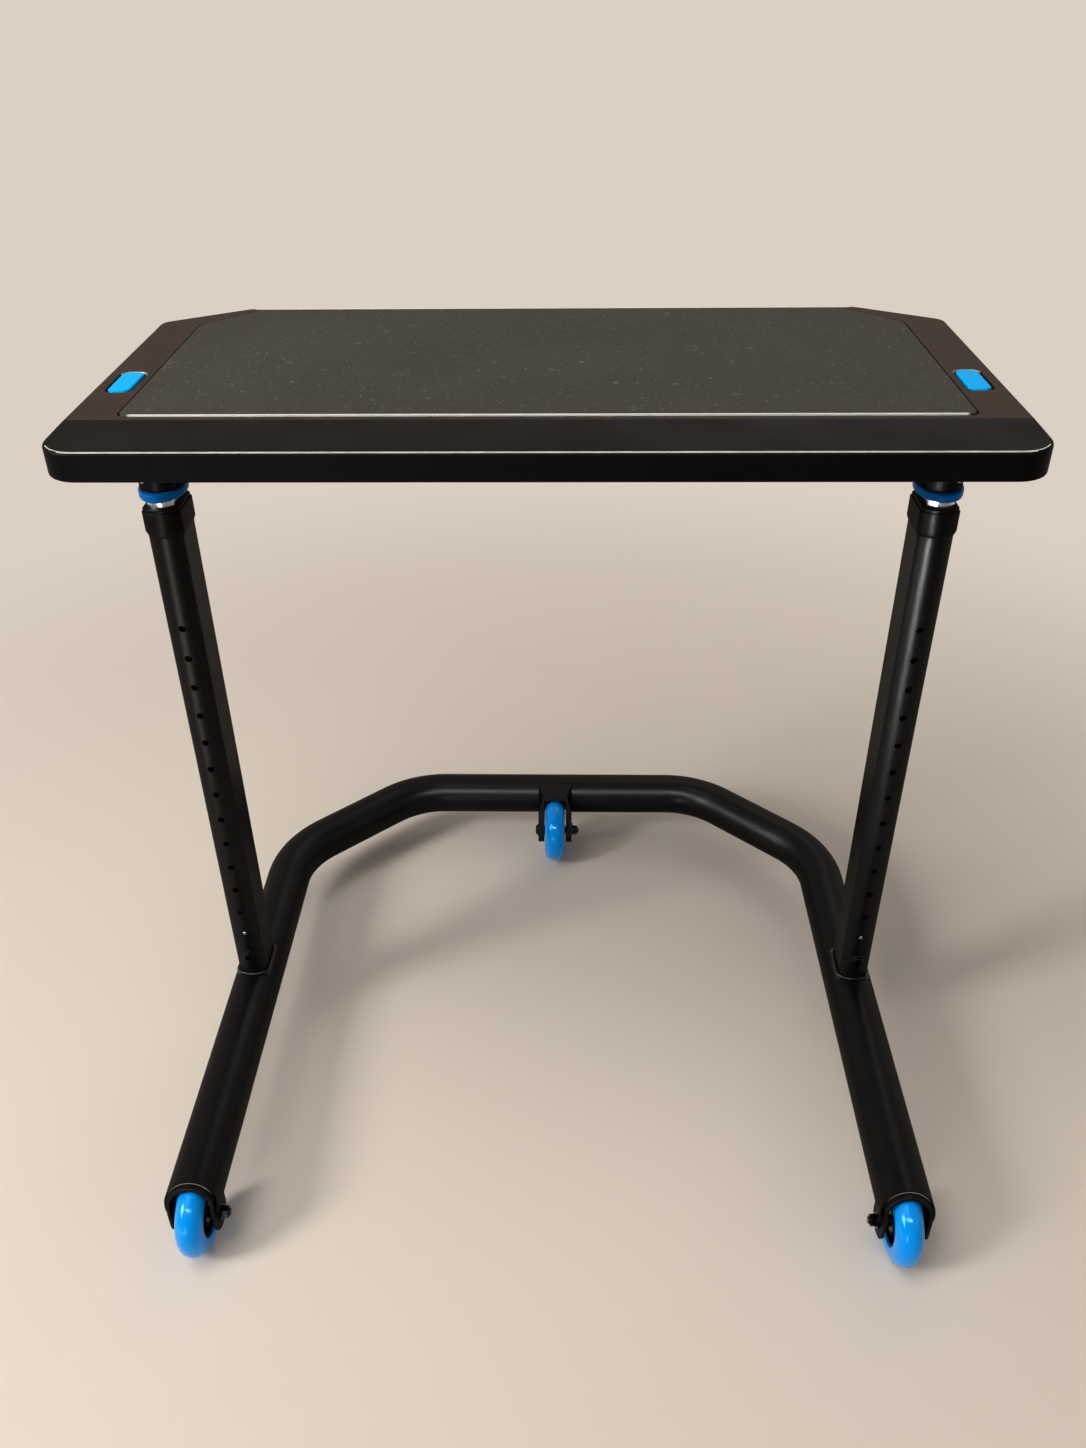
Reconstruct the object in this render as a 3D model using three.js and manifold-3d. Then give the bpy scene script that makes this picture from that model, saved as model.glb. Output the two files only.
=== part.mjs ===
// Rolling desk that stands over a bike on a trainer: a bent tube base on three wheels,
// two telescoping columns with spring lock pins, and a flat top with an inlaid mat.
// Millimetres, +Z up. -Y is the side nearest the rider. Inside the group y = 0 runs through both columns.
import * as THREE from 'three';
import { ConvexGeometry } from 'three/addons/geometries/ConvexGeometry.js';
import { mergeVertices } from 'three/addons/utils/BufferGeometryUtils.js';
import Module from 'manifold-3d';

const wasm = await Module();
wasm.setup();

// Shared clearances and steps
const fit = 0.3;
const overrun = 10;
const weldGap = 0.0002;
const arcSteps = 4;
const rodSides = 14;
const holeSides = 10;
const hexSides = 6;
const screwSides = 8;
const coilSides = 5;
const coilSteps = 7;

// Desk top
const deckTop = 838;
const deckWidth = 791;
const deckDepth = 410;
const deckCentreY = 6;
const deckEdge = 26;
const deckSkin = 5;
const deckWall = 3.5;
const deckRound = 2.5;
const deckCornerRadius = 30;
const deckChamferWide = 82.5;
const deckChamferDeep = 51;
const stripDepth = 70;
const stripDrop = 1.5;

// Mat inlaid in the desk top
const matSideMargin = 42.5;
const matFrontMargin = 80.5;
const matRearMargin = 8;
const matChamferWide = 51;
const matChamferDeep = 53;
const matCornerRadius = 8;
const matThickness = 2.4;
const matRecess = 2;
const matGap = 0.8;

// Columns, which share one section of flat sides and bowed ends
const columnInset = 26.5;
const columnHalfWidth = 17;
const columnBow = 22;
const columnBowSetback = 5;
const columnWall = 2;
const columnBelowDeck = 134;

// Lock holes down the front of each column
const holeCount = 13;
const topHoleDrop = 119;
const lowestHoleRise = 65.4;
const holeRadius = 3.7;

// Bent base tube
const tubeRadius = 28.6;
const tubeWall = 2.3;
const wheelTopRoom = 3.2;
const mouthY = -322;
const mouthLean = 7;
const legBendY = 234.6;
const crossbarY = 380;
const crossbarBendIn = 157.5;
const bendRadius = 118;
const bendSteps = 4;
const tubeSides = 24;

// Wheels
const wheelRadius = 45.5;
const tyreHalfWidth = 14.5;
const tyreThickness = 19.5;
const tyreSideHalfWidth = 12.5;
const coreHalfWidth = 11.5;
const coreRim = 3.5;
const coreWebHalfWidth = 5.5;
const coreBoss = 3;
const wheelSides = 24;
const treadSteps = 6;
const frontAxleY = -318.6;
const rearAxleY = 323.4;
const axleRadius = 4;
const bearingRadius = 11;
const bearingWidth = 7;
const bearingOuterX = 11.5;
const spacerRadius = 6.5;
const boltHeadRadius = 7;
const boltHeadHeight = 4;
const washerRadius = 8.5;
const washerHeight = 1.6;
const washerTab = 13;
const washerTabHalfWidth = 3.5;
const nutHeight = 6.5;

// Forks that carry the wheels
const forkHalfWidth = 24.5;
const forkPlate = 4;
const forkArch = 2.8;
const earRadius = 18;
const rearForkPlate = 8.5;
const forkRoof = 3.3;
const forkRoofFall = 3.2;
const forkNoseHalfWidth = 17.5;
const forkShoulderDrop = 18;
const forkNose = 11;
const forkTaperEnd = 12;
const wheelRoom = 3.5;
const guardThickness = 2;

// Collar and guide bush at the top of a column
const collarProud = 2;
const collarNeckProud = 0.8;
const collarSkirt = 19.5;
const collarShoulderRise = 6;
const collarTopRise = 14;
const bushFlange = 2.4;
const bushDepth = 38;

// Inner tube, its glide and the lock pin inside it
const innerInset = 4;
const innerWall = 1.5;
const innerBelowPin = 13;
const glideAbovePin = 16;
const glideHeight = 22;
const pinRadius = 3.2;
const pinProud = 0.2;
const pinTravel = 5;
const pinBlockHalfWidth = 5;
const pinBlockRise = 8;
const pinBlockDrop = 8;
const pinBlockDepth = 17;
const wedgeRise = 5;
const carrierFloor = 3;
const carrierRoof = 3.4;
const pinSpringRoom = 13;
const pinSpringRadius = 3.6;
const pinSpringWire = 0.5;
const pinSpringTurns = 5;

// Leg socket, stop ring and their screws
const socketInset = 0.5;
const socketDrop = 81;
const ringProud = 5.5;
const ringHeight = 8.5;
const ringRound = 1.5;
const socketScrewAngle = 28;
const socketScrewRise = 13;
const socketScrewRadius = 2;
const socketScrewHead = 4;
const socketScrewHeadHeight = 2.2;

// Column foot: stop block, its bolt and the weld
const footBlockRise = 9;
const footBlockHeight = 37;
const footBoltBelowPin = 35;
const footBoltRadius = 3;
const footBoltHead = 5.6;
const footBoltHeadHeight = 3;
const footWasherRadius = 7;
const footWasherHeight = 1.2;
const weldThickness = 3.6;

// Underside of the desk
const coverThickness = 3.2;
const coverRise = 0.6;
const flangeThickness = 3.2;
const flangeRise = 0.6;
const flangeOuter = 20;
const flangeInner = 56;
const flangeHalfDepth = 72;
const flangeScrewInset = 7;
const railShort = 9;
const railFrontY = 8;
const railDepth = 36;
const railWall = 1.6;
const bossRadius = 4.6;
const screwRadius = 1.8;
const screwHeadRadius = 3.8;
const screwHeadHeight = 2.2;
const screwBite = 9;
const coverScrewInset = 16;

// Release buttons
const buttonOffset = 3.5;
const buttonCentreY = -31;
const buttonHalfWidth = 9.75;
const buttonLength = 52;
const buttonProud = 0.6;
const buttonRound = 1.2;
const buttonPocketWall = 3.1;
const buttonFlange = 1.95;
const buttonFlangeHeight = 2.4;
const dishMargin = 3.5;
const dishDepth = 1;
const housingWall = 2;
const housingFloor = 2;
const rodRadius = 2;
const rodY = -11;
const buttonSpringRadius = 3.1;
const buttonSpringWire = 0.4;
const buttonSpringTurns = 4;
const pocketRadius = 3.9;

// Places worked out from the sizes above
const columnX = deckWidth / 2 - columnInset;
const deckFront = deckCentreY - deckDepth / 2;
const deckRear = deckCentreY + deckDepth / 2;
const deckBottom = deckTop - deckEdge;
const skinUnder = deckTop - deckSkin;
const coverLow = deckBottom + coverRise;
const coverHigh = coverLow + coverThickness;
const flangeLow = coverHigh + flangeRise;
const flangeHigh = flangeLow + flangeThickness;
const matHalfWidth = deckWidth / 2 - matSideMargin;
const matFront = deckFront + matFrontMargin;
const matRear = deckRear - matRearMargin;
const tyreBore = wheelRadius - tyreThickness;
const tubeBore = tubeRadius - tubeWall;
const forkArchOuter = tubeBore - fit;
const forkArchInner = forkArchOuter - forkArch;
const tubeHeight = 2 * wheelRadius + wheelTopRoom - forkArchInner;
const tubeTop = tubeHeight + tubeRadius;
const crossbarBendX = columnX - crossbarBendIn;
const columnTop = deckTop - columnBelowDeck;
const topHoleHeight = columnTop - topHoleDrop;
const lowestHole = tubeTop + lowestHoleRise;
const holePitch = (topHoleHeight - lowestHole) / (holeCount - 1);
const footBoltHeight = lowestHole - footBoltBelowPin;
const socketLow = deckBottom - socketDrop;
const ringLow = socketLow - fit - ringHeight;
const collarHigh = columnTop + collarTopRise;
const collarLow = columnTop - collarSkirt;
const innerLow = lowestHole - innerBelowPin;
const innerHigh = flangeHigh - fit;
const buttonX = columnX + buttonOffset;
const pocketHigh = deckTop + buttonProud - buttonPocketWall;
const housingLow = flangeHigh + fit;
const wedgeHigh = lowestHole + wedgeRise;

// Materials
function paint(color, roughness, metalness) {
  return new THREE.MeshStandardMaterial({ color, roughness, metalness });
}
const blackSteel = paint(0x1d1d1f, 0.5, 0.3);
const blackPlastic = paint(0x1b1b1c, 0.55, 0);
const deckPlastic = paint(0x2e2b29, 0.6, 0);
const matRubber = paint(0x46433f, 0.85, 0);
const bluePlastic = paint(0x1590d8, 0.4, 0);
const blueTyre = paint(0x0a8fe6, 0.35, 0);
const chrome = paint(0xd8dadc, 0.12, 1);
const darkSteel = paint(0x2a2a2c, 0.4, 0.8);
const plainSteel = paint(0xa8aaac, 0.35, 1);
const whitePlastic = paint(0xd9d7d0, 0.5, 0);

// Booleans
function solidOf(geometry) {
  const bare = geometry.clone();
  bare.deleteAttribute('normal');
  bare.deleteAttribute('uv');
  const merged = mergeVertices(bare, weldGap);
  const vertProperties = new Float32Array(merged.attributes.position.array);
  const triVerts = new Uint32Array(merged.index.array);
  return new wasm.Manifold(new wasm.Mesh({ numProp: 3, vertProperties, triVerts }));
}

function geometryOf(solid) {
  const mesh = solid.getMesh();
  const geometry = new THREE.BufferGeometry();
  geometry.setAttribute('position', new THREE.BufferAttribute(new Float32Array(mesh.vertProperties), 3));
  geometry.setIndex(new THREE.BufferAttribute(new Uint32Array(mesh.triVerts), 1));
  geometry.computeVertexNormals();
  return geometry;
}

const joined = (solids) => solids.reduce((whole, next) => whole.add(next));
const cutBy = (solid, tools) => tools.reduce((left, tool) => left.subtract(tool), solid);

// Solids drawn along each axis
const alongX = new THREE.Matrix4().makeBasis(
  new THREE.Vector3(0, 1, 0), new THREE.Vector3(0, 0, 1), new THREE.Vector3(1, 0, 0));

function extruded(shape, length) {
  return new THREE.ExtrudeGeometry(shape, { depth: length, bevelEnabled: false, curveSegments: arcSteps });
}

// The shape lies in X and Y
const prismUp = (shape, low, high) => solidOf(extruded(shape, high - low).translate(0, 0, low));

// The shape's own x is Y and its y is Z
const prismAcross = (shape, low, high) => solidOf(
  extruded(shape, high - low).applyMatrix4(alongX).translate(low, 0, 0));

// The shape's own x is X and its y is Z
const prismDeep = (shape, low, high) => solidOf(
  extruded(shape, high - low).rotateX(Math.PI / 2).translate(0, high, 0));

function block(x0, x1, y0, y1, z0, z1) {
  const box = new THREE.BoxGeometry(x1 - x0, y1 - y0, z1 - z0);
  return solidOf(box.translate((x0 + x1) / 2, (y0 + y1) / 2, (z0 + z1) / 2));
}

function rodX(radius, low, high, y, z, sides = rodSides) {
  const rod = new THREE.CylinderGeometry(radius, radius, high - low, sides).rotateZ(-Math.PI / 2);
  return solidOf(rod.translate((low + high) / 2, y, z));
}

function rodDeep(radius, low, high, x, z, sides = rodSides) {
  const rod = new THREE.CylinderGeometry(radius, radius, high - low, sides);
  return solidOf(rod.translate(x, (low + high) / 2, z));
}

function rodUp(radius, low, high, x, y, sides = rodSides) {
  const rod = new THREE.CylinderGeometry(radius, radius, high - low, sides).rotateX(Math.PI / 2);
  return solidOf(rod.translate(x, y, (low + high) / 2));
}

// A ring turned about an axis along X, from [radius, x] corners given in order
function turned(corners, sides = wheelSides) {
  const profile = [...corners, corners[0]].map(([radius, x]) => new THREE.Vector2(radius, x));
  return solidOf(new THREE.LatheGeometry(profile, sides).rotateZ(-Math.PI / 2));
}

function pointsShape(points) {
  return new THREE.Shape(points.map(([x, y]) => new THREE.Vector2(x, y)));
}

// The column's section, larger by grow all round
function sectionShape(grow) {
  const half = columnHalfWidth + grow;
  const bow = columnBow + grow;
  const turn = Math.acos(half / bow);
  const shape = new THREE.Shape();
  shape.absarc(0, -columnBowSetback, bow, turn - Math.PI, -turn, false);
  shape.absarc(0, columnBowSetback, bow, turn, Math.PI - turn, false);
  shape.closePath();
  return shape;
}

const sectionHalfDepth = (grow) => columnBowSetback + columnBow + grow;
const sleeve = (outer, inner, low, high) => prismUp(sectionShape(outer), low, high)
  .subtract(prismUp(sectionShape(inner), low - overrun, high + overrun));

// A slot with round ends, long in Y
function slotShape(halfWidth, length) {
  const reach = length / 2 - halfWidth;
  const shape = new THREE.Shape();
  shape.absarc(0, reach, halfWidth, 0, Math.PI, false);
  shape.absarc(0, -reach, halfWidth, Math.PI, 2 * Math.PI, false);
  shape.closePath();
  return shape;
}

// A desk outline: round front corners and cut rear corners
function plateShape(halfWidth, front, rear, chamferWide, chamferDeep, cornerRadius) {
  const shape = new THREE.Shape();
  const cornerX = halfWidth - cornerRadius;
  const cornerY = front + cornerRadius;
  shape.absarc(-cornerX, cornerY, cornerRadius, Math.PI, 1.5 * Math.PI, false);
  shape.absarc(cornerX, cornerY, cornerRadius, 1.5 * Math.PI, 2 * Math.PI, false);
  shape.lineTo(halfWidth, rear - chamferDeep);
  shape.lineTo(halfWidth - chamferWide, rear);
  shape.lineTo(-halfWidth + chamferWide, rear);
  shape.lineTo(-halfWidth, rear - chamferDeep);
  shape.closePath();
  return shape;
}

const deckShape = (inset) => plateShape(deckWidth / 2 - inset, deckFront + inset, deckRear - inset,
  deckChamferWide, deckChamferDeep, deckCornerRadius - inset);
const matShape = (grow) => plateShape(matHalfWidth + grow, matFront - grow, matRear + grow,
  matChamferWide, matChamferDeep, matCornerRadius + grow);

// A path whose points are taken as they stand, one section at each
class StationPath extends THREE.Curve {
  constructor(stations) {
    super();
    this.stations = stations;
  }
  place(t) {
    const at = Math.min(t, 1) * (this.stations.length - 1);
    const index = Math.min(Math.floor(at + 1e-9), this.stations.length - 2);
    return [index, at - index];
  }
  getPoint(t, target = new THREE.Vector3()) {
    const [index, share] = this.place(t);
    return target.lerpVectors(this.stations[index].point, this.stations[index + 1].point, share);
  }
  getTangent(t, target = new THREE.Vector3()) {
    const [index, share] = this.place(t);
    const next = this.stations[share > 0.5 ? index + 1 : index];
    return target.copy(next.tangent);
  }
  getUtoTmapping(u) {
    return u;
  }
}

// Stations along straight runs joined by round bends
function bentPath(corners, radius) {
  const stations = [];
  const last = corners.length - 1;
  corners.forEach((corner, index) => {
    const before = corners[Math.max(index - 1, 0)];
    const after = corners[Math.min(index + 1, last)];
    const coming = corner.clone().sub(before).normalize();
    const going = after.clone().sub(corner).normalize();
    if (index === 0) {
      stations.push({ point: corner, tangent: going });
      return;
    }
    if (index === last) {
      stations.push({ point: corner, tangent: coming });
      return;
    }
    const angle = coming.angleTo(going);
    const start = corner.clone().addScaledVector(coming, -radius * Math.tan(angle / 2));
    const inward = going.clone().addScaledVector(coming, -Math.cos(angle)).normalize();
    for (let step = 0; step <= bendSteps; step += 1) {
      const turn = angle * step / bendSteps;
      const point = start.clone().addScaledVector(coming, radius * Math.sin(turn))
        .addScaledVector(inward, radius * (1 - Math.cos(turn)));
      const tangent = coming.clone().multiplyScalar(Math.cos(turn)).addScaledVector(inward, Math.sin(turn));
      stations.push({ point, tangent });
    }
  });
  return new StationPath(stations);
}

// The base tube's centre line, longer at both mouths by extra
function basePath(extra) {
  const start = mouthY - mouthLean * 4 - extra;
  const corner = (x, y) => new THREE.Vector3(x, y, tubeHeight);
  return bentPath([
    corner(-columnX, start),
    corner(-columnX, legBendY),
    corner(-crossbarBendX, crossbarY),
    corner(crossbarBendX, crossbarY),
    corner(columnX, legBendY),
    corner(columnX, start),
  ], bendRadius);
}

function roundTube(path, radius, sides) {
  const circle = new THREE.Shape();
  circle.absarc(0, 0, radius, 0, 2 * Math.PI, false);
  const steps = path.stations.length - 1;
  return solidOf(new THREE.ExtrudeGeometry(circle, {
    steps, extrudePath: path, bevelEnabled: false, curveSegments: sides / 2,
  }));
}

// A coil spring's wire
class CoilPath extends THREE.Curve {
  constructor(radius, height, turns) {
    super();
    this.radius = radius;
    this.height = height;
    this.turns = turns;
  }
  getPoint(t, target = new THREE.Vector3()) {
    const angle = 2 * Math.PI * this.turns * t;
    return target.set(this.radius * Math.cos(angle), this.radius * Math.sin(angle), this.height * t);
  }
}

function coil(radius, wire, low, high, turns) {
  const section = new THREE.Shape();
  section.absarc(0, 0, wire, 0, 2 * Math.PI, false);
  const path = new CoilPath(radius, high - low - 2 * wire, turns);
  const geometry = new THREE.ExtrudeGeometry(section, {
    steps: turns * coilSteps, extrudePath: path, bevelEnabled: false, curveSegments: coilSides / 2,
  });
  return geometry.translate(0, 0, low + wire);
}

// Scene graph
const desk = new THREE.Group();
function add(name, solid, material, x = 0) {
  const mesh = new THREE.Mesh(geometryOf(solid), material);
  mesh.name = name;
  mesh.position.x = x;
  desk.add(mesh);
}

// Base tube, with its mouths cut to the wheels and a hollow for the rear wheel
function makeBaseTube() {
  const side = 2 * tubeRadius;
  const wellEnd = frontAxleY + wheelRadius + 2 * wheelRoom + fit;
  const behind = mouthY - mouthLean * 4 - 2 * overrun;
  const mouthShape = pointsShape([
    [behind, tubeTop + overrun],
    [behind, tubeHeight - 2 * tubeRadius],
    [mouthY - mouthLean * 3, tubeHeight - 2 * tubeRadius],
    [mouthY + mouthLean * overrun / tubeRadius, tubeTop + overrun],
  ]);
  const tools = [roundTube(basePath(overrun), tubeBore, tubeSides)];
  [-columnX, columnX].forEach((x) => {
    tools.push(prismAcross(mouthShape, x - side, x + side));
    tools.push(block(x - side, x + side, behind, wellEnd, tubeHeight - side, tubeHeight));
  });
  const well = wheelRadius + wheelRoom + guardThickness + fit;
  const inside = forkHalfWidth - rearForkPlate;
  tools.push(rodX(well, -inside, inside, rearAxleY, wheelRadius, wheelSides));
  return cutBy(roundTube(basePath(0), tubeRadius, tubeSides), tools);
}
add('base_tube', makeBaseTube(), blackSteel);

// Column tube, coped over the leg, with its lock holes and foot bolt hole
function makeColumn() {
  const front = -sectionHalfDepth(0);
  const holes = Array.from({ length: holeCount }, (_, index) => topHoleHeight - index * holePitch);
  const tools = holes.map((z) => rodDeep(holeRadius, front - overrun, -columnBowSetback, 0, z, holeSides));
  const reach = overrun - front;
  tools.push(rodDeep(footBoltRadius + fit, -reach, reach, 0, footBoltHeight, holeSides));
  tools.push(rodDeep(tubeRadius + fit, -reach, reach, 0, tubeHeight, tubeSides));
  return cutBy(sleeve(0, -columnWall, tubeHeight, columnTop).add(makeWeld()), tools);
}

// Weld bead round the column's foot, where it meets the leg
function makeWeld() {
  const reach = sectionHalfDepth(weldThickness) + overrun;
  const shell = rodDeep(tubeRadius + fit + weldThickness, -reach, reach, 0, tubeHeight, tubeSides)
    .subtract(rodDeep(tubeRadius + fit, -reach - overrun, reach + overrun, 0, tubeHeight, tubeSides));
  return sleeve(weldThickness, -columnWall / 2, tubeHeight, tubeTop + overrun).intersect(shell);
}

// Stop block inside the column's foot, held by the foot bolt
function makeFootBlock() {
  const low = tubeTop + footBlockRise;
  const hole = rodDeep(footBoltRadius + fit, -columnX, columnX, 0, footBoltHeight, holeSides);
  return prismUp(sectionShape(-columnWall - fit), low, low + footBlockHeight).subtract(hole);
}

// Foot bolt with a washer and a round head at the front, and a nut behind
function makeFootBolt() {
  const face = sectionHalfDepth(0) + fit;
  const seat = face + footWasherHeight;
  const z = footBoltHeight;
  return joined([
    rodDeep(footBoltRadius, -seat, seat + footBoltHeadHeight, 0, z, holeSides),
    rodDeep(footWasherRadius, -seat, -face, 0, z),
    rodDeep(footBoltHead, -seat - footBoltHeadHeight, -seat, 0, z, hexSides),
    rodDeep(footWasherRadius, face, seat, 0, z),
    rodDeep(footBoltHead, seat, seat + footBoltHeadHeight, 0, z, hexSides),
  ]);
}

// Collar: a skirt outside the column with a lip over the guide bush and a narrower neck
function makeCollar() {
  const lipLow = columnTop + bushFlange + 2 * fit;
  const shoulder = columnTop + collarShoulderRise;
  const bore = -innerInset + fit;
  return joined([
    sleeve(collarProud, fit, collarLow, lipLow),
    sleeve(collarProud, bore, lipLow, shoulder),
    sleeve(collarNeckProud, bore, shoulder, collarHigh),
  ]);
}

// Guide bush inside the column, with a flange on its top edge
function makeGuideBush() {
  const flangeBase = columnTop + fit;
  const body = sleeve(-columnWall - fit, -innerInset + fit, columnTop - bushDepth, flangeBase);
  return body.add(sleeve(0, -innerInset + fit, flangeBase, flangeBase + bushFlange));
}

[['left', -1], ['right', 1]].forEach(([name, side]) => {
  const x = side * columnX;
  add(`column_${name}`, makeColumn(), blackSteel, x);
  add(`foot_stop_block_${name}`, makeFootBlock(), blackPlastic, x);
  add(`foot_bolt_${name}`, makeFootBolt(), darkSteel, x);
  add(`column_collar_${name}`, makeCollar(), blackPlastic, x);
  add(`guide_bush_${name}`, makeGuideBush(), whitePlastic, x);
});

// Front fork: an arch inside the tube's mouth with two ears that hold the axle
function makeFrontFork() {
  const low = wheelRadius - earRadius - overrun;
  const innerHalf = forkHalfWidth - forkPlate;
  const archLine = (half, radius) => {
    const turn = Math.acos(half / radius);
    const shape = new THREE.Shape();
    shape.moveTo(-half, low);
    shape.lineTo(half, low);
    shape.absarc(0, tubeHeight, radius, turn, Math.PI - turn, false);
    shape.closePath();
    return shape;
  };
  const front = mouthY - mouthLean * 2;
  const rear = frontAxleY + wheelRadius + 2 * wheelRoom;
  const arch = prismDeep(archLine(forkHalfWidth, forkArchOuter), front - overrun, rear)
    .subtract(prismDeep(archLine(innerHalf, forkArchInner), front - 2 * overrun, rear + overrun));
  const side = new THREE.Shape();
  side.absarc(frontAxleY, wheelRadius, earRadius, Math.PI, 2 * Math.PI, false);
  side.lineTo(frontAxleY + earRadius, tubeHeight - tubeBore / 2);
  side.lineTo(rear, tubeHeight - tubeBore / 2);
  side.lineTo(rear, tubeTop);
  side.lineTo(mouthY, tubeTop);
  side.lineTo(mouthY - mouthLean * 2, tubeHeight);
  side.closePath();
  const limit = prismAcross(side, -tubeRadius, tubeRadius);
  return arch.intersect(limit).subtract(axleHole(frontAxleY));
}

function axleHole(y) {
  return rodX(axleRadius + fit, -columnX, columnX, y, wheelRadius, holeSides);
}

// Rear fork: a roof that narrows to its nose, two thick side plates and a curved guard
function makeRearFork() {
  const innerHalf = forkHalfWidth - rearForkPlate;
  const noseY = rearAxleY + forkNose;
  const front = rearAxleY - 2 * earRadius;
  const low = wheelRadius - earRadius - overrun;
  const taperY = crossbarY - forkTaperEnd;
  const taperShare = (taperY - front) / (taperY - noseY);
  const roofHalf = forkHalfWidth - (forkHalfWidth - forkNoseHalfWidth) * taperShare;
  const shoulder = tubeTop - forkShoulderDrop * taperShare;
  const corner = (x, y, z) => new THREE.Vector3(x, y, z);
  const body = solidOf(new ConvexGeometry([-1, 1].flatMap((side) => [
    corner(side * forkHalfWidth, front, low),
    corner(side * forkHalfWidth, front, shoulder),
    corner(side * roofHalf, front, tubeTop),
    corner(side * forkHalfWidth, taperY, tubeTop),
    corner(side * forkHalfWidth, crossbarY, tubeTop),
    corner(side * forkHalfWidth, crossbarY, low),
  ])));
  const side = new THREE.Shape();
  side.absarc(rearAxleY, wheelRadius, earRadius, Math.PI, 2 * Math.PI, false);
  side.lineTo(crossbarY - tubeRadius / 2, tubeHeight - tubeRadius / 2);
  side.lineTo(crossbarY, tubeTop - forkRoofFall);
  side.lineTo(noseY, tubeTop);
  side.closePath();
  const room = block(-innerHalf, innerHalf, front - overrun, crossbarY + overrun, low - overrun,
    tubeTop - forkRoof - forkRoofFall);
  const shell = body.intersect(prismAcross(side, -2 * forkHalfWidth, 2 * forkHalfWidth)).subtract(room);
  const guardInner = wheelRadius + wheelRoom;
  const wide = innerHalf + fit;
  const narrow = innerHalf - fit;
  const drum = (radius, half) => rodX(radius, -half, half, rearAxleY, wheelRadius, wheelSides);
  const guard = drum(guardInner + guardThickness, wide).subtract(drum(guardInner, forkHalfWidth))
    .intersect(block(-wide, wide, rearAxleY + forkNose, crossbarY, wheelRadius, tubeTop));
  const crossbar = rodX(tubeRadius + fit, -columnX, columnX, crossbarY, tubeHeight, tubeSides)
    .subtract(drum(guardInner + guardThickness + fit / 2, narrow));
  return cutBy(shell.add(guard), [crossbar, axleHole(rearAxleY)]);
}

// Tyre with a round tread
function makeTyre() {
  const crown = wheelRadius - tyreHalfWidth;
  const corners = [[tyreBore, -tyreSideHalfWidth]];
  for (let step = 0; step <= treadSteps; step += 1) {
    const turn = Math.PI * step / treadSteps;
    corners.push([crown + tyreHalfWidth * Math.sin(turn), -tyreHalfWidth * Math.cos(turn)]);
  }
  corners.push([tyreBore, tyreSideHalfWidth]);
  return turned(corners);
}

// Wheel core with a seat for a bearing on each side
function makeWheelCore() {
  const outer = tyreBore - fit;
  const seat = bearingRadius + fit;
  const boss = seat + coreBoss;
  const stop = bearingOuterX - bearingWidth - fit;
  const bore = spacerRadius + fit;
  return turned([
    [outer, -coreHalfWidth], [outer, coreHalfWidth], [outer - coreRim, coreHalfWidth],
    [outer - coreRim, coreWebHalfWidth], [boss, coreWebHalfWidth], [boss, coreHalfWidth],
    [seat, coreHalfWidth], [seat, stop], [bore, stop], [bore, -stop], [seat, -stop],
    [seat, -coreHalfWidth], [boss, -coreHalfWidth], [boss, -coreWebHalfWidth],
    [outer - coreRim, -coreWebHalfWidth], [outer - coreRim, -coreHalfWidth],
  ]);
}

function ring(inner, outer, low, high) {
  return turned([[inner, low], [outer, low], [outer, high], [inner, high]], rodSides);
}

// Pair of bearings whose inner rings are drawn out between them and to the fork's plates
function makeBearings(plate) {
  const inner = bearingOuterX - bearingWidth;
  const reach = forkHalfWidth - plate - fit;
  return joined([
    ring(axleRadius + fit, spacerRadius, -reach, reach),
    ring(axleRadius + fit, bearingRadius, inner, bearingOuterX),
    ring(axleRadius + fit, bearingRadius, -bearingOuterX, -inner),
  ]);
}

// Axle bolt whose head is on the side given, and its nut and tab washer on the other side
function makeAxleBolt(headSide) {
  const face = forkHalfWidth + fit;
  const tip = face + washerHeight + nutHeight + 3 * fit;
  const head = rodX(boltHeadRadius, face, face + boltHeadHeight, 0, 0, hexSides);
  const shank = rodX(axleRadius, -tip, face + boltHeadHeight / 2, 0, 0);
  return turnedToSide(head.add(shank), headSide);
}

function makeAxleNut(headSide) {
  const bore = rodX(axleRadius + fit, -columnX, columnX, 0, 0, rodSides);
  const washerFar = forkHalfWidth + fit + washerHeight;
  const tab = prismAcross(pointsShape([
    [-washerTabHalfWidth, 0], [washerTabHalfWidth, 0], [0, washerTab],
  ]), -washerFar, -forkHalfWidth - fit);
  const washer = rodX(washerRadius, -washerFar, -forkHalfWidth - fit, 0, 0).add(tab);
  const nut = rodX(boltHeadRadius, -washerFar - nutHeight, -washerFar, 0, 0, hexSides);
  return turnedToSide(washer.add(nut).subtract(bore), headSide);
}

const turnedToSide = (solid, side) => (side > 0 ? solid : solid.rotate([0, 0, 180]));

const wheels = [
  ['front_left', -columnX, frontAxleY, forkPlate, -1],
  ['front_right', columnX, frontAxleY, forkPlate, 1],
  ['rear', 0, rearAxleY, rearForkPlate, -1],
];
wheels.forEach(([name, x, y, plate, headSide]) => {
  const place = (solid) => solid.translate([0, y, wheelRadius]);
  add(`tyre_${name}`, place(makeTyre()), blueTyre, x);
  add(`wheel_core_${name}`, place(makeWheelCore()), blackPlastic, x);
  add(`wheel_bearings_${name}`, place(makeBearings(plate)), plainSteel, x);
  add(`axle_bolt_${name}`, place(makeAxleBolt(headSide)), darkSteel, x);
  add(`axle_nut_${name}`, place(makeAxleNut(headSide)), darkSteel, x);
});
add('front_fork_left', makeFrontFork(), blackSteel, -columnX);
add('front_fork_right', makeFrontFork(), blackSteel, columnX);
add('rear_fork', makeRearFork(), blackSteel);

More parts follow.
